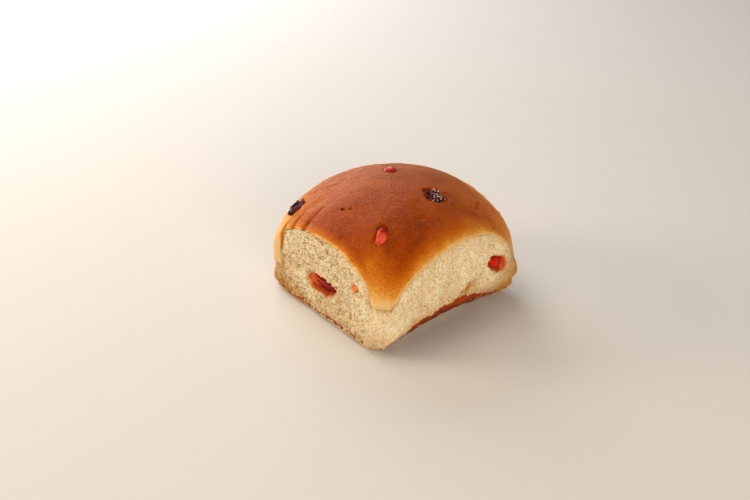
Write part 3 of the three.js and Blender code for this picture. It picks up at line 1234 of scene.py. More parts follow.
@dataclass
class BrownedSkin:
    """The browned top: a thin shell with a ragged rim, a tongue at each corner and folds."""

    cells: int = 200            # across and along the shell
    crowding: float = 0.10      # how much closer the cells lie at the rim
    thickness: float = 0.8
    rim_thickness: float = 0.35
    rim_taper: float = 4.0      # distance from the rim at which the shell is at its full thickness
    rim_curl: float = 0.3       # radius of the rounded rim
    fold_places: tuple[float, ...] = (-28.4, -20.6, -12.2)
    fold_width: float = 1.1
    fold_length: float = 7.5
    fold_depth: float = 1.2
    fold_lean: float = 0.12
    fold_painted_shade: float = 0.35    # painted shade: how much darker it is down in the grooves between the folds
    pucker_depth: float = 0.3   # of the long shallow wrinkles over the left shoulder
    painted_sheen: float = 0.25          # painted sheen: how much paler the skin is between those wrinkles, and darker deep in them
    swells: tuple[Wave, ...] = (Wave(0.16, 5.0, 9.1), Wave(0.07, 2.1, 4.2))
    torn_width: float = 1.6     # how far in from its edge the skin is roughened by the tear
    torn_rim: tuple[Wave, ...] = (Wave(0.4, 1.4, 3.7), Wave(0.3, 0.9, 8.2))
    uneven_rim: tuple[Wave, ...] = (Wave(0.8, 5.0, 3.9), Wave(0.8, 1.3, 6.3))   # shares of its width
    patches: tuple[Wave, ...] = (Wave(0.12, 14.0, 6.4), Wave(0.1, 6.0, 2.4))    # of the browning
    tip_rim: float = 2.0        # how far up from its tip a tongue is unbaked
    side_curve: float = 1.25    # how slowly the browning sets in above a torn side
    tongue_curve: float = 1.4   # and up a tongue
    tongue_brown: float = 0.85  # how brown the tongues are at the latest, further up
    seam_width: float = 1.1     # of the painted shade along the upright edges that a tongue can have
    creases: dict[str, Mark] = field(default_factory=lambda: {
        "slit": Mark.on_skin(-1.6, -26.2, (2.8, 1.3, 1.5), 14),
        "slit_end": Mark.on_skin(0.5, -24.2, (1.8, 1.0, 1.2), -20),
        "upper_crease": Mark.on_skin(26, 24.3, (9.5, 1.4, 0.7), 178),
        "lower_crease": Mark.on_skin(36.3, 23.9, (5.4, 1.3, 0.6), 172),
        "faint_crease": Mark.on_skin(24.5, -6.5, (4.5, 1.4, 0.4), 10),
        # These two gaps are also darkened with painted shade, through the stain.
        "raisin_gap": Mark.on_skin(14.1, 7.4, (7.0, 5.4, 2.2), 10),
        "cherry_gap": Mark.on_skin(19.1, -22.6, (5.2, 4.4, 1.8), 40),
    })

    def build(self) -> bpy.types.Object:
        """Builds and dresses the skin.

        Returns:
            The finished piece.
        """
        piece = add_piece(
            "browned_skin", bpy.ops.mesh.primitive_grid_add,
            x_subdivisions=self.cells, y_subdivisions=self.cells, size=2 * MM,
        )
        square = read_points(piece)
        spread = np.abs(square[:, :2]).max(axis=1)
        spread = spread + self.crowding * np.sin(math.pi * spread) * spread
        bearing = np.arctan2(square[:, 1], square[:, 0])
        points = FORM.skin_points(bearing, spread, self.raggedness(bearing))
        write_points(piece, points)
        from_edge = np.maximum(0, FORM.edge_distance(bearing, points[:, 2]))
        push_out(piece, self.relief(points, bearing, from_edge))
        self.keep_browning(piece, points, bearing, from_edge)
        set_weights(piece, "wall", from_edge / self.rim_taper)
        apply_modifier(
            piece, "SOLIDIFY", thickness=self.thickness * MM, offset=-1, use_rim=True,
            vertex_group="wall", thickness_vertex_group=self.rim_thickness / self.thickness,
        )
        shade_smooth(piece)
        hand_over(piece, BrownedSkinFinish().material(), "baked_dough", "bun")
        return piece

    def raggedness(self, bearing: Array) -> Array:
        """How much lower than its rule the skin's edge hangs.

        Args:
            bearing: The bearing of each place.

        Returns:
            How much lower it hangs, in millimetres.
        """
        ring = FORM.round_ring(bearing)
        coarse = blended_by_side(bearing, "coarseness")
        ragged = (0.3 + 0.5 * coarse) * waves(ring, 5.0, 2.2) + (0.25 + 0.6 * coarse) * waves(ring, 1.7, 5.9)
        return ragged + (0.2 + 0.5 * coarse) * waves(ring, 0.9, 1.6)

    def relief(self, points: Array, bearing: Array, from_edge: Array) -> Array:
        """How far each place on the skin is pushed out.

        Args:
            points: The places, in millimetres.
            bearing: Their bearings.
            from_edge: How far each lies from the skin's edge, down the dome.

        Returns:
            The distance in millimetres, below 0 where it is sunk.
        """
        relief = summed(points, self.swells)
        curl = np.clip(1 - from_edge / self.rim_curl, 0, 1)
        relief -= self.rim_curl * (1 - np.sqrt(1 - 0.98 * curl ** 2))
        relief += np.exp(-((from_edge / self.torn_width) ** 2)) * summed(points, self.torn_rim)
        relief -= self.folds(points, bearing)
        shoulder, wrinkles = self.puckers(points)
        relief -= self.pucker_depth * shoulder * wrinkles
        for crease in self.creases.values():
            relief -= crease.depth * crease.share(points, 0.8, 0.3)
        for fruit in (RAISIN_LEFT, RAISIN_RIGHT, CHERRY_FRONT, CHERRY_BACK):
            pit = fruit.pit(0.1, 1.3)
            relief -= pit.depth * pit.share(points, 1.0, 0.25)
        return relief

    def puckers(self, points: Array) -> tuple[Array, Array]:
        """How far each place lies on the puckered left shoulder, and in a wrinkle."""
        shoulder = smooth_step(-points[:, 0], 2, 24) * smooth_step(points[:, 2], 26, 34)
        return shoulder, ridges(points * (1.0, 0.28, 0.6), 2.0, 2.7) ** 3

    def folds(self, points: Array, bearing: Array) -> Array:
        """Depth of the grooves between the folds that hang over the front left side.

        Args:
            points: The places, in millimetres.
            bearing: Their bearings.

        Returns:
            The depth at each place, in millimetres.
        """
        above = np.maximum(0, points[:, 2] - FORM.arch_height(bearing))
        fade = np.exp(-((above / self.fold_length) ** 2)) * smooth_step(FORM.past_tongue(bearing), -3, 0)
        fade = fade * (np.round(bearing / (math.pi / 2)).astype(int) % 4 == Face.FRONT_LEFT.value)
        groove = np.zeros(len(points))
        for place in self.fold_places:
            off = points[:, 0] - place - self.fold_lean * above
            groove = np.maximum(groove, np.exp(-np.abs(off / self.fold_width) ** 1.5))
        return self.fold_depth * fade * groove

    def browned(self, points: Array, bearing: Array, from_edge: Array) -> Array:
        """How brown each place is, from 0 on the rim to 1.

        Args:
            points: The places, in millimetres.
            bearing: Their bearings.
            from_edge: How far each lies from the skin's edge, down the dome.

        Returns:
            How brown each place is.
        """
        height = points[:, 2]
        rim = blended_by_side(bearing, "rim") * (1 + summed(points, self.uneven_rim))
        side_fade = by_side(bearing, "skin_fade")
        above_arch = FORM.down_dome(FORM.arch_height(bearing), height)
        above_lip = FORM.down_dome(by_corner(bearing, "lip"), height)
        side = np.clip((above_arch - rim) / side_fade, 0, 1) ** self.side_curve
        tongue = np.clip((above_lip - self.tip_rim) / by_corner(bearing, "fade"), 0, 1) ** self.tongue_curve
        late = smooth_step(above_lip / by_corner(bearing, "brown_by"), 0.35, 1)
        tongue = np.maximum(tongue, self.tongue_brown * late)
        past = np.maximum(0, FORM.past_tongue(bearing))
        near = np.exp(-((past / by_corner(bearing, "spread")) ** 2))
        brown = (side + (tongue - side) * near) * smooth_step(from_edge, 0, rim + 1.5)
        from_side = FORM.beside_distance(bearing, height)
        brown = np.minimum(brown, np.clip((from_side - 1.5 - rim) / side_fade, 0, 1))
        # Painted shade in the crease along a tongue's upright edge.
        seam = np.exp(-(((from_side - 1) / self.seam_width) ** 2))
        return np.maximum(brown, by_corner(bearing, "seam") * seam)

    def keep_browning(self, piece: bpy.types.Object, points: Array, bearing: Array, from_edge: Array) -> None:
        """Keeps how brown each place is and its stains, painted sheen and painted shade included.

        Args:
            piece: The skin.
            points: The places, in millimetres.
            bearing: Their bearings.
            from_edge: How far each lies from the skin's edge, down the dome.
        """
        # Painted shade down in the grooves between the folds.
        groove = self.fold_painted_shade * self.folds(points, bearing) / self.fold_depth
        shoulder, wrinkles = self.puckers(points)
        # Painted sheen over the left shoulder: paler between the wrinkles, darker deep in them.
        painted_sheen = self.painted_sheen * shoulder * (1 - 1.2 * wrinkles)
        patchy_and_sheen = 0.85 + summed(points, self.patches) - painted_sheen
        browning_with_painted_light = self.browned(points, bearing, from_edge) * patchy_and_sheen + groove
        keep_values(piece, "browning_with_painted_light", np.clip(browning_with_painted_light, 0, 1))
        stain = np.zeros(len(points))
        for fruit in (CHERRY_FRONT, CHERRY_BACK):
            stain = np.maximum(stain, 0.7 * fruit.pit(1.2, 1).share(points, 1.0, 0.3))
        # Painted shade in the slits and the gaps beside the right raisin and the front cherry.
        for crease in ("slit", "slit_end", "raisin_gap", "cherry_gap"):
            stain = np.maximum(stain, 0.9 * self.creases[crease].share(points, 0.6, 0.3))
        keep_values(piece, "stain", stain)


# ---- crumb ----

@dataclass(frozen=True)
class Juice:
    """What has seeped from a piece of cherry into the crumb round it."""

    cherry: Morsel
    spread: float       # how far, in millimetres
    strength: float     # how deeply it colours, from 0 to 1


@dataclass
class TornCrumb:
    """The soft inside, bare on the four torn sides, with its pores, lumps and torn strands."""

    columns: int = 744          # round the bun
    rows_down: int = 96         # from the skin's edge to the base
    rows_under: int = 12        # from the middle of the dome, out under the skin
    rows_base: int = 6
    crowding: float = 1.15      # how much closer the rows lie at the skin's edge
    cover: float = 6.0          # how deep under the skin the crumb lies away from the edge
    lowest: float = 0.5         # height of its flat underside, inside the base crust
    stray: float = 0.9          # how far pores and curls stray from an even scatter
    slimness: float = 0.35      # width of the upright strands, as a share of their length
    strand_height: float = 0.6
    tufts: tuple[Wave, ...] = (Wave(0.45, 1.4, 3.7),)
    curl_height: float = 0.5
    smoothest: float = 0.45     # how much of all this the finest crumb has
    gloom: float = 0.7          # painted shade: how much darker the crumb is down in the hollows
    gloom_depth: float = 4.0    # how deep a hole is before it is at its darkest
    pit_depth: float = 0.45     # how deep the cherries' pits are, as a share of the cherries' depth
    foot_dusk: float = 0.35     # how much darker the crumb is at its foot
    foot_fade: float = 8.0
    patch_dusk: float = 0.05    # all over, and then in broad patches
    dusk_patches: tuple[Wave, ...] = (Wave(0.225, 9.0, 1.9),)
    edge_dusk: float = 0.14     # painted shade under the skin's edge
    edge_fade: float = 2.5
    groove_dusk: float = 0.6    # painted shade in the groove there
    right_dusk: float = 0.75    # painted shade at the far end of the front right side
    left_dusk: float = 0.5      # painted shade at the far end of the front left side
    open_dusk: float = 0.1      # painted shade where it is coarse
    holes: dict[str, Mark] = field(default_factory=lambda: {
        "cherry_hole": Mark.on_side(Face.FRONT_LEFT, -1.4, 17.4, (22.0, 8.0, 4.2), 0),
        "pore": Mark.on_side(Face.FRONT_RIGHT, -17.1, 17.6, (5.0, 1.6, 1.2), 14),
    })
    dips: tuple[Mark, ...] = field(default_factory=lambda: (
        Mark.on_side(Face.FRONT_LEFT, -1.4, 38.2, (8.0, 1.8, 1.6), -16),
        Mark.on_side(Face.FRONT_LEFT, 3.6, 35.4, (4.4, 2.2, 1.4), -60),
        Mark.on_side(Face.FRONT_RIGHT, 9.4, 15.6, (14.0, 8.0, 1.6), 12),
    ))
    juices: tuple[Juice, ...] = (
        Juice(CHERRY_LEFT_FACE, 2.0, 1.0),
        Juice(CHERRY_LEFT_SMALL, 1.1, 0.45),
        Juice(CHERRY_RIGHT_FACE, 1.6, 0.85),
    )

    def build(self) -> bpy.types.Object:
        """Builds and dresses the crumb.

        Returns:
            The finished piece.
        """
        rings = self.rows_under + self.rows_down + self.rows_base
        piece = self.add_ball(rings)
        ball = read_points(piece)
        ring = np.round(np.arccos(np.clip(ball[:, 2], -1, 1)) / math.pi * rings)
        bearing = self.even_bearing(np.arctan2(ball[:, 1], ball[:, 0]))
        points = self.place_rows(bearing, ring)
        write_points(piece, points)
        bare = smooth_step(ring, self.rows_under - 1, self.rows_under + 3)
        bare = bare * (1 - smooth_step(ring, rings - self.rows_base - 2, rings - self.rows_base))
        self.tear(piece, points, bearing, bare)
        shade_smooth(piece)
        hand_over(piece, CrumbFinish().material(), "baked_dough", "bun")
        return piece

    def add_ball(self, rings: int) -> bpy.types.Object:
        """Adds a sheet and rolls it up into a closed ball of columns and rings.

        Args:
            rings: How many rings it has from top to bottom.

        Returns:
            The ball.
        """
        piece = add_piece(
            "torn_crumb", bpy.ops.mesh.primitive_grid_add,
            x_subdivisions=self.columns, y_subdivisions=rings, size=2 * MM,
        )
        sheet = read_points(piece)
        turn, fall = sheet[:, 0] * math.pi, (1 - sheet[:, 1]) * math.pi / 2
        write_points(piece, np.column_stack((
            np.sin(fall) * np.cos(turn), np.sin(fall) * np.sin(turn), np.cos(fall),
        )))
        with editing(piece):
            bpy.ops.mesh.remove_doubles(threshold=0.001 * MM)
        return piece

    def even_bearing(self, bearing: Array) -> Array:
        """Moves bearings so that the columns are evenly spaced along each torn side."""
        part = off_middle(bearing)
        return bearing - part + np.arctan(part / (math.pi / 4))

    def place_rows(self, bearing: Array, ring: Array) -> Array:
        """Lays the rings of a ball on the crumb.

        Args:
            bearing: The bearing of each point.
            ring: The number of its ring, counted down from the top.

        Returns:
            The points' places, in millimetres.
        """
        edge = FORM.edge_height(bearing)
        wall = np.clip((ring - self.rows_under) / self.rows_down, 0, 1)
        height = edge - (edge - self.lowest) * wall ** self.crowding
        points = FORM.crumb_points(bearing, height)
        inner = np.clip(ring / self.rows_under, 0, 1)
        top = FORM.skin_points(bearing, inner, np.zeros(len(bearing)))
        from_edge = np.maximum(0, FORM.edge_distance(bearing, top[:, 2]))
        sunk = np.minimum(self.cover, 0.9 + 0.8 * from_edge)
        top = top - FORM.dome_outward(top) * sunk[:, None]
        under = (ring < self.rows_under)[:, None]
        points = np.where(under, top, points)
        last = self.rows_under + self.rows_down
        shrink = np.clip(1 - (ring - last) / self.rows_base, 0, 1)
        points[:, :2] *= shrink[:, None]
        return points

    def tear(self, piece: bpy.types.Object, points: Array, bearing: Array, bare: Array) -> None:
        """Gives the bare crumb its strands, pores and hollows, and keeps them for its material.

        Args:
            piece: The crumb.
            points: The places of its points, in millimetres.
            bearing: Their bearings.
            bare: How far each is uncovered, from 0 to 1.
        """
        coarse = blended_by_side(bearing, "coarseness") * (1 - 0.8 * corner_share(bearing))
        sideways = np.column_stack([waves(points, 1.6, seed) for seed in (1.1, 2.2, 3.3)])
        strayed = points + self.stray * sideways
        curls = ridges(strayed, 2.1, 6.6) ** 1.5
        large = pores(strayed, spacing=3.4, width=2.2, share=0.4, seed=4.1)
        small = pores(strayed, spacing=1.6, width=1.5, share=0.7, seed=9.4)
        dug = coarse * (0.6 * large + 0.4 * small)
        sunk, gloom = self.hollows(points)
        torn = self.smoothest + (1 - self.smoothest) * coarse
        relief = torn * self.strands(points, curls) - dug - sunk
        covered = smooth_step(points[:, 2] - FORM.crust_climb(bearing), -0.6, 0.4)
        push_out(piece, relief * bare * covered)
        fringe = np.exp(-(((FORM.edge_height(bearing) - points[:, 2]) / 1.2) ** 2))
        # Painted shade in the dug pores and between the curls, and painted highlight on the curls.
        pore = 0.35 * dug + 0.3 * coarse * (0.5 - curls - fringe)
        keep_values(piece, "pore", pore * bare)
        keep_values(piece, "coarse", coarse)
        keep_values(piece, "stain", self.juice(points))
        # Painted shade, darkest down in the hollows, with the darker tone low down and in patches.
        painted_shade_and_tone = self.painted_shade_and_tone(points, bearing) + self.gloom * gloom * (0.8 + 1.2 * waves(points, 2.0, 4.9))
        keep_values(piece, "painted_shade_and_tone", np.clip(painted_shade_and_tone, 0, 1))

    def strands(self, points: Array, curls: Array) -> Array:
        """How far the strands that were pulled upright, and the curls between them, stand out.

        Args:
            points: The places, in millimetres.
            curls: How far each lies on a curl, from 0 to 1.

        Returns:
            The distance in coarse crumb, in millimetres.
        """
        strands = self.strand_height * (ridges(points * (1.0, 1.0, self.slimness), 2.8, 8.3) - 0.5)
        return strands + summed(points, self.tufts) + self.curl_height * (curls - 0.4)

    def hollows(self, points: Array) -> tuple[Array, Array]:
        """How deep each place lies in the holes, the cherries' pits and the dips.

        Args:
            points: The places, in millimetres.

        Returns:
            The depth in millimetres, and how much painted shade darkens it there, from 0 to 1.
        """
        pits = [juice.cherry.pit(0.3, self.pit_depth * juice.cherry.depth) for juice in self.juices]
        depth = np.zeros(len(points))
        for softness, marks in ((0.8, self.holes.values()), (0.4, pits)):
            for mark in marks:
                depth = np.maximum(depth, mark.depth * mark.share(points, softness, 0.2))
        dark = depth / self.gloom_depth
        for mark in self.dips:
            share = mark.share(points, 1.5, 0.3)
            depth = depth + mark.depth * share
            dark = np.maximum(dark, share)
        return depth, dark

    def juice(self, points: Array) -> Array:
        """How deeply cherry juice has coloured each place.

        Args:
            points: The places, in millimetres.

        Returns:
            The depth of the colour, from 0 to 1.
        """
        stain = 0.45 * self.holes["cherry_hole"].share(points, 0.5, 0.14)
        for juice in self.juices:
            around = juice.cherry.pit(juice.spread, 1)
            stain = np.maximum(stain, juice.strength * around.share(points, 0.9, 0.14))
        return stain

    def painted_shade_and_tone(self, points: Array, bearing: Array) -> Array:
        """How darkened each place is: by painted shade, and by a darker tone low down and in patches.

        Args:
            points: The places, in millimetres.
            bearing: Their bearings.

        Returns:
            How darkened it is, from about 0 to 1.
        """
        height = points[:, 2]
        foot = 1 - smooth_step(height - FORM.crust_climb(bearing), 0, self.foot_fade)
        painted_shade_and_tone = self.foot_dusk * foot + self.patch_dusk + summed(points, self.dusk_patches)
        # Painted shade under the skin's edge, in the groove and at the far ends.
        below = FORM.edge_height(bearing) - height
        painted_shade_and_tone += self.edge_dusk * np.exp(-((below / self.edge_fade) ** 2))
        painted_shade_and_tone += self.groove_dusk * FORM.edge_overhang(bearing) * FORM.groove(bearing, height)
        facing_right = np.cos(bearing) > math.sqrt(0.5)
        facing_left = np.sin(bearing) < -math.sqrt(0.5)
        painted_shade_and_tone += self.right_dusk * smooth_step(points[:, 1] - 0.5 * height, 8, 30) * facing_right
        painted_shade_and_tone += self.left_dusk * smooth_step(-points[:, 0] - 0.8 * height, 0, 26) * facing_left
        return painted_shade_and_tone + self.open_dusk * blended_by_side(bearing, "coarseness")


# ---- base ----

@dataclass
class BakedBase:
    """The crust of the flat underside, which climbs a little way up the torn sides."""

    cells: int = 150
    proud: float = 0.4          # how far it stands out from the crumb
    thickness: float = 1.1
    heel: float = 1.6           # rounding between the underside and the sides
    bumps: tuple[Wave, ...] = (Wave(0.35, 2.4, 7.1), Wave(0.2, 1.2, 3.3))

    def build(self) -> bpy.types.Object:
        """Builds and dresses the base crust.

        Returns:
            The finished piece.
        """
        piece = add_piece(
            "base_crust", bpy.ops.mesh.primitive_grid_add,
            x_subdivisions=self.cells, y_subdivisions=self.cells, size=2 * MM,
        )
        square = read_points(piece)
        spread = np.abs(square[:, :2]).max(axis=1)
        bearing = np.arctan2(square[:, 1], square[:, 0])
        points, climbed = self.place(bearing, spread)
        write_points(piece, points)
        with editing(piece):
            bpy.ops.mesh.flip_normals()
        push_out(piece, summed(points, self.bumps) * smooth_step(points[:, 2], 0.2, 1.5))
        keep_values(piece, "rim", climbed)
        apply_modifier(piece, "SOLIDIFY", thickness=self.thickness * MM, offset=-1, use_rim=True)
        shade_smooth(piece)
        hand_over(piece, BaseCrustFinish().material(), "baked_dough", "bun")
        return piece

    def place(self, bearing: Array, spread: Array) -> tuple[Array, Array]:
        """Places on the outside of the base crust.

        Args:
            bearing: The bearing of each place.
            spread: 0 at the middle of the underside and 1 at the upper edge.

        Returns:
            The places in millimetres, and how far up to the edge each one is, from 0 to 1.
        """
        climb = FORM.crust_climb(bearing)
        foot = np.linalg.norm(FORM.crumb_points(bearing, np.zeros(len(bearing)))[:, :2], axis=1)
        path = spread * (foot + climb)
        out = soft_min(path, foot, self.heel)
        height = soft_max(path - foot, np.zeros(len(path)), self.heel)
        height = height - height[np.argmin(spread)]
        wall = np.linalg.norm(FORM.crumb_points(bearing, height)[:, :2], axis=1)
        reach = out / foot * wall + self.proud * smooth_step(spread, 0.5, 0.65)
        points = np.column_stack((reach * np.cos(bearing), reach * np.sin(bearing), height))
        return points, np.clip(height / climb, 0, 1)


# ---- fruit ----

def settle(piece: bpy.types.Object, morsel: Morsel) -> None:
    """Turns a finished morsel to its seat and fits it into the box of its solid.

    Args:
        piece: The piece.
        morsel: What it is, and where it sits.
    """
    matrix = morsel.seat.matrix
    piece.data.transform(matrix)
    points = read_points(piece)
    low, high = morsel.box
    middle = (points.min(axis=0) + points.max(axis=0)) / 2
    scale = (high - low) / (points.max(axis=0) - points.min(axis=0))
    write_points(piece, (points - middle) * scale + (low + high) / 2)


@dataclass
class Raisin:
    """A dried grape, folded into deep lengthwise wrinkles."""

    morsel: Morsel
    seed: float
    wrinkle: float = 0.42       # depth of the wrinkles, as a share of the raisin's radius

    def build(self) -> bpy.types.Object:
        """Builds and dresses the raisin.

        Returns:
            The finished piece.
        """
        piece = add_piece(
            self.morsel.node + "_wrinkled", bpy.ops.mesh.primitive_ico_sphere_add,
            subdivisions=6, radius=MM,
        )
        points = read_points(piece)
        folds = ridges(points, 0.85, self.seed)
        fine = ridges(points * (0.6, 1.0, 1.0), 0.36, self.seed + 3)
        lumps = waves(points, 1.1, self.seed + 7)
        push_out(piece, self.wrinkle * (folds - 0.6) + 0.16 * fine + 0.25 * lumps)
        keep_values(piece, "crest", np.clip(0.7 * folds + 0.3 * fine, 0, 1))
        with editing(piece):
            bpy.ops.transform.resize(value=self.morsel.radii)
        settle(piece, self.morsel)
        shade_smooth(piece)
        hand_over(piece, RaisinFinish().material(), "raisin", self.morsel.node)
        return piece


@dataclass
class CherryPiece:
    """A cut piece of candied cherry, with flat cut faces, rounded edges and wet dimples."""

    morsel: Morsel
    finish: CandiedCherryFinish
    seed: int
    thin_end: int = 1           # 1 if its far end along its length is thin, -1 if its near end is
    waist: float = 0.0          # how much narrower it is in its middle
    cuts: int = 3
    cut_depth: float = 0.75     # how close to its middle the cuts pass, as a share of its radius
    relief: float = 0.26        # of its folds and fibres, as a share of its radius

    def build(self) -> bpy.types.Object:
        """Builds and dresses the piece of cherry.

        Returns:
            The finished piece.
        """
        piece = add_piece(
            self.morsel.node + "_candied", bpy.ops.mesh.primitive_ico_sphere_add,
            subdivisions=6, radius=MM,
        )
        draw = np.random.default_rng(self.seed)
        points = read_points(piece)
        for _ in range(self.cuts):
            way = draw.normal(size=3)
            way /= np.linalg.norm(way)
            past = np.maximum(0, points @ way - self.cut_depth * draw.uniform(0.9, 1.3))
            points -= 0.9 * past[:, None] * way
        points[:, 1:] *= 1 - self.waist * np.exp(-((points[:, :1] / 0.3) ** 2))
        write_points(piece, points)
        fibres = ridges(points * (0.7, 1.3, 1.3), 0.8, self.seed * 2.3)
        lumps = waves(points, 0.95, self.seed * 1.7)
        fine = ridges(points, 0.3, self.seed * 0.9)
        push_out(piece, self.relief * (lumps + 0.3 * fibres - 0.2 + 0.2 * fine))
        keep_values(piece, "crest", np.clip(0.5 * fibres + 0.5 + lumps - 0.25, 0, 1))
        keep_values(piece, "thinness", self.thinness(points))
        with editing(piece):
            bpy.ops.transform.resize(value=self.morsel.radii)
        settle(piece, self.morsel)
        shade_smooth(piece)
        hand_over(piece, self.finish.material(), "candied_cherry", self.morsel.node)
        return piece

    def thinness(self, points: Array) -> Array:
        """How thin and bright each place is: most at one end of the piece."""
        towards = self.thin_end * points[:, 0] + 0.4 * waves(points, 0.8, self.seed)
        return smooth_step(towards, 0.15, 0.75)


@dataclass
class SugarGrains:
    """Coarse sugar stuck to the outside of a raisin."""

    raisin: bpy.types.Object
    morsel: Morsel
    count: int = 30
    smallest: float = 0.25
    largest: float = 0.55
    seed: int = 11

    def build(self) -> bpy.types.Object:
        """Builds and dresses the grains as one piece.

        Returns:
            The finished piece.
        """
        draw = np.random.default_rng(self.seed)
        surface = read_points(self.raisin)
        local = self.morsel.seat.local(surface)
        high = local[:, 2] > 0.2 * self.morsel.depth
        outside = surface[high & (local[:, 0] > -0.12 * self.morsel.length)]
        grains = [self.grain(outside[draw.integers(len(outside))], draw) for _ in range(self.count)]
        bpy.ops.object.select_all(action="DESELECT")
        for grain in grains:
            grain.select_set(True)
        bpy.context.view_layer.objects.active = grains[0]
        bpy.ops.object.join()
        piece = bpy.context.object
        piece.name = piece.data.name = "sugar_grains"
        hand_over(piece, SugarFinish().material(), "raisin")
        return piece

    def grain(self, place: Array, draw: np.random.Generator) -> bpy.types.Object:
        """One bevelled crystal at a place on the raisin.

        Args:
            place: Where it is stuck, in millimetres.
            draw: Where its size and turn are drawn from.

        Returns:
            The crystal.
        """
        size = draw.uniform(self.smallest, self.largest)
        grain = add_piece("grain", bpy.ops.mesh.primitive_cube_add, size=size * MM)
        with editing(grain):
            bpy.ops.transform.resize(value=draw.uniform(0.6, 1.2, 3))
            bpy.ops.mesh.bevel(offset=0.12 * size * MM, segments=1, affect="EDGES")
        way = Vector(draw.normal(size=3)).to_track_quat("Z", "Y").to_matrix().to_4x4()
        grain.data.transform(Matrix.Translation(Vector(place) * MM) @ way)
        return grain


# ---- studio ----

@dataclass(frozen=True)
class Softbox:
    """A soft studio lamp that looks at the bun."""

    name: str
    azimuth: float      # degrees, counted as the camera's
    elevation: float
    distance: float     # metres
    size: float         # metres
    watts: float
    colour: str

    def build(self, aim: Vector) -> None:
        """Makes the lamp and points it at a place.

        Args:
            aim: That place.
        """
        lamp = bpy.data.lights.new(self.name, "AREA")
        lamp.shape = "SQUARE"
        lamp.size = self.size
        lamp.energy = self.watts
        lamp.color = linear(self.colour)[:3]
        holder = bpy.data.objects.new(self.name, lamp)
        bpy.context.collection.objects.link(holder)
        back = looking_back(self.azimuth, self.elevation)
        holder.location = aim + back * self.distance
        holder.rotation_euler = (-back).to_track_quat("-Z", "Y").to_euler()


def looking_back(azimuth: float, elevation: float) -> Vector:
    """The direction from the bun to something that looks at it from these angles, in degrees."""
    turn, rise = math.radians(azimuth), math.radians(elevation)
    return Vector((math.sin(turn) * math.cos(rise), -math.cos(turn) * math.cos(rise), math.sin(rise)))


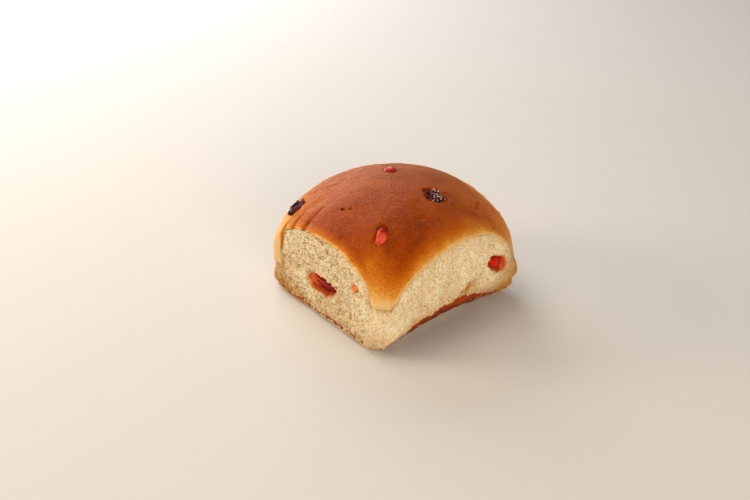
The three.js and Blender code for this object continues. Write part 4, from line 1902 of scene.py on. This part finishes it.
@dataclass
class Studio:
    """The plain pale floor, the soft light and the camera."""

    azimuth: float = 49.99
    elevation: float = 31.30
    distance: float = 500.0     # millimetres from the camera to what it aims at
    aim: tuple[float, float, float] = (-11.68, -0.61, 14.07)
    lens: float = 53.76
    floor_half: float = 6.0     # metres
    floor_colour: str = "#cccdd0"
    air_colour: str = "#f4f0ea"
    floor_tooth_mm: float = 1.2     # the fine tooth of its surface
    air_strength: float = 0.30
    lamp_aim: tuple[float, float, float] = (0.0, 0.0, 20.0)
    lamps: tuple[Softbox, ...] = (
        Softbox("window", -104.0, 22.0, 0.75, 0.55, 4.5, "#fffdfa"),
        Softbox("overhead", -60.0, 66.0, 0.8, 0.5, 3.3, "#ffe8ca"),
        Softbox("warm_fill", 68.0, 14.0, 0.8, 0.5, 5.2, "#ffe8c8"),
        Softbox("left_key", -46.0, 16.0, 0.8, 0.3, 4.0, "#ffecd0"),
    )

    def build(self) -> None:
        """Builds the floor, the lamps, the air light and the camera."""
        self.floor()
        for lamp in self.lamps:
            lamp.build(Vector(self.lamp_aim) * MM)
        world = bpy.data.worlds.new("studio_air")
        world.use_nodes = True
        air = world.node_tree.nodes["Background"]
        air.inputs["Color"].default_value = linear(self.air_colour)
        air.inputs["Strength"].default_value = self.air_strength
        bpy.context.scene.world = world
        bpy.context.scene.view_settings.view_transform = "Standard"
        self.camera(Vector(self.aim) * MM)

    def floor(self) -> None:
        """Lays the floor, which isn't part of the bun."""
        plane = add_piece("floor", bpy.ops.mesh.primitive_plane_add, size=2 * self.floor_half)
        material, tree = new_material("matt_paper_floor")
        place = add_node(tree, "TexCoord").outputs["Object"]
        tooth = add_node(tree, "TexNoise", {
            "Vector": place, "Scale": 1 / (self.floor_tooth_mm * MM), "Detail": 2.0,
        })
        bump = add_node(tree, "Bump", {
            "Height": tooth.outputs["Fac"], "Strength": 0.1, "Distance": 0.05 * MM,
        })
        shader = add_node(tree, "BsdfPrincipled", {
            "Base Color": linear(self.floor_colour), "Roughness": 0.8, "Normal": bump.outputs[0],
            "Specular IOR Level": 0.2,
        })
        show_surface(tree, shader)
        plane.data.materials.append(material)

    def camera(self, aim: Vector) -> None:
        """Sets the camera at the photograph's viewing angle.

        Args:
            aim: The place that it looks at.
        """
        lens = bpy.data.cameras.new("camera")
        lens.lens = self.lens
        lens.sensor_width = 36.0
        lens.clip_start = 0.01
        holder = bpy.data.objects.new("camera", lens)
        bpy.context.collection.objects.link(holder)
        back = looking_back(self.azimuth, self.elevation)
        holder.location = aim + back * self.distance * MM
        holder.rotation_euler = (-back).to_track_quat("-Z", "Y").to_euler()
        bpy.context.scene.camera = holder


# ---- the whole bun ----

CHERRY_FINISHES = {
    "pink": CandiedCherryFinish("pink", "#8f1006", "#d8583e", "#8a1408"),
    "red": CandiedCherryFinish("red", "#6e0804", "#b02a1a", "#96200e"),
    "split": CandiedCherryFinish("split", "#540202", "#960e04", "#c04e10"),
    "orange": CandiedCherryFinish("orange", "#c44a10", "#dd7a24", "#d98a3a"),
    "scarlet": CandiedCherryFinish("scarlet", "#8a0802", "#c02004", "#d0600c"),
}


def main() -> None:
    """Builds the bun and its studio, and reports each piece."""
    logging.basicConfig(level=logging.INFO, format="%(message)s")
    raisin_right = Raisin(RAISIN_RIGHT, seed=3.1)
    makers = [
        BrownedSkin(),
        TornCrumb(),
        BakedBase(),
        Raisin(RAISIN_LEFT, seed=8.6),
        raisin_right,
        CherryPiece(CHERRY_FRONT, CHERRY_FINISHES["pink"], seed=5),
        CherryPiece(CHERRY_BACK, CHERRY_FINISHES["red"], seed=9),
        CherryPiece(CHERRY_LEFT_FACE, CHERRY_FINISHES["split"], seed=14, thin_end=-1),
        CherryPiece(CHERRY_LEFT_SMALL, CHERRY_FINISHES["orange"], seed=21),
        CherryPiece(CHERRY_RIGHT_FACE, CHERRY_FINISHES["scarlet"], seed=31, waist=0.25),
    ]
    built = {}
    for maker in makers:
        piece = maker.build()
        built[piece.name] = piece
        LOG.info("%s: %d faces", piece.name, len(piece.data.polygons))
    grains = SugarGrains(built["raisin_right_wrinkled"], RAISIN_RIGHT).build()
    LOG.info("%s: %d faces", grains.name, len(grains.data.polygons))
    Studio().build()


if __name__ == "__main__":
    main()
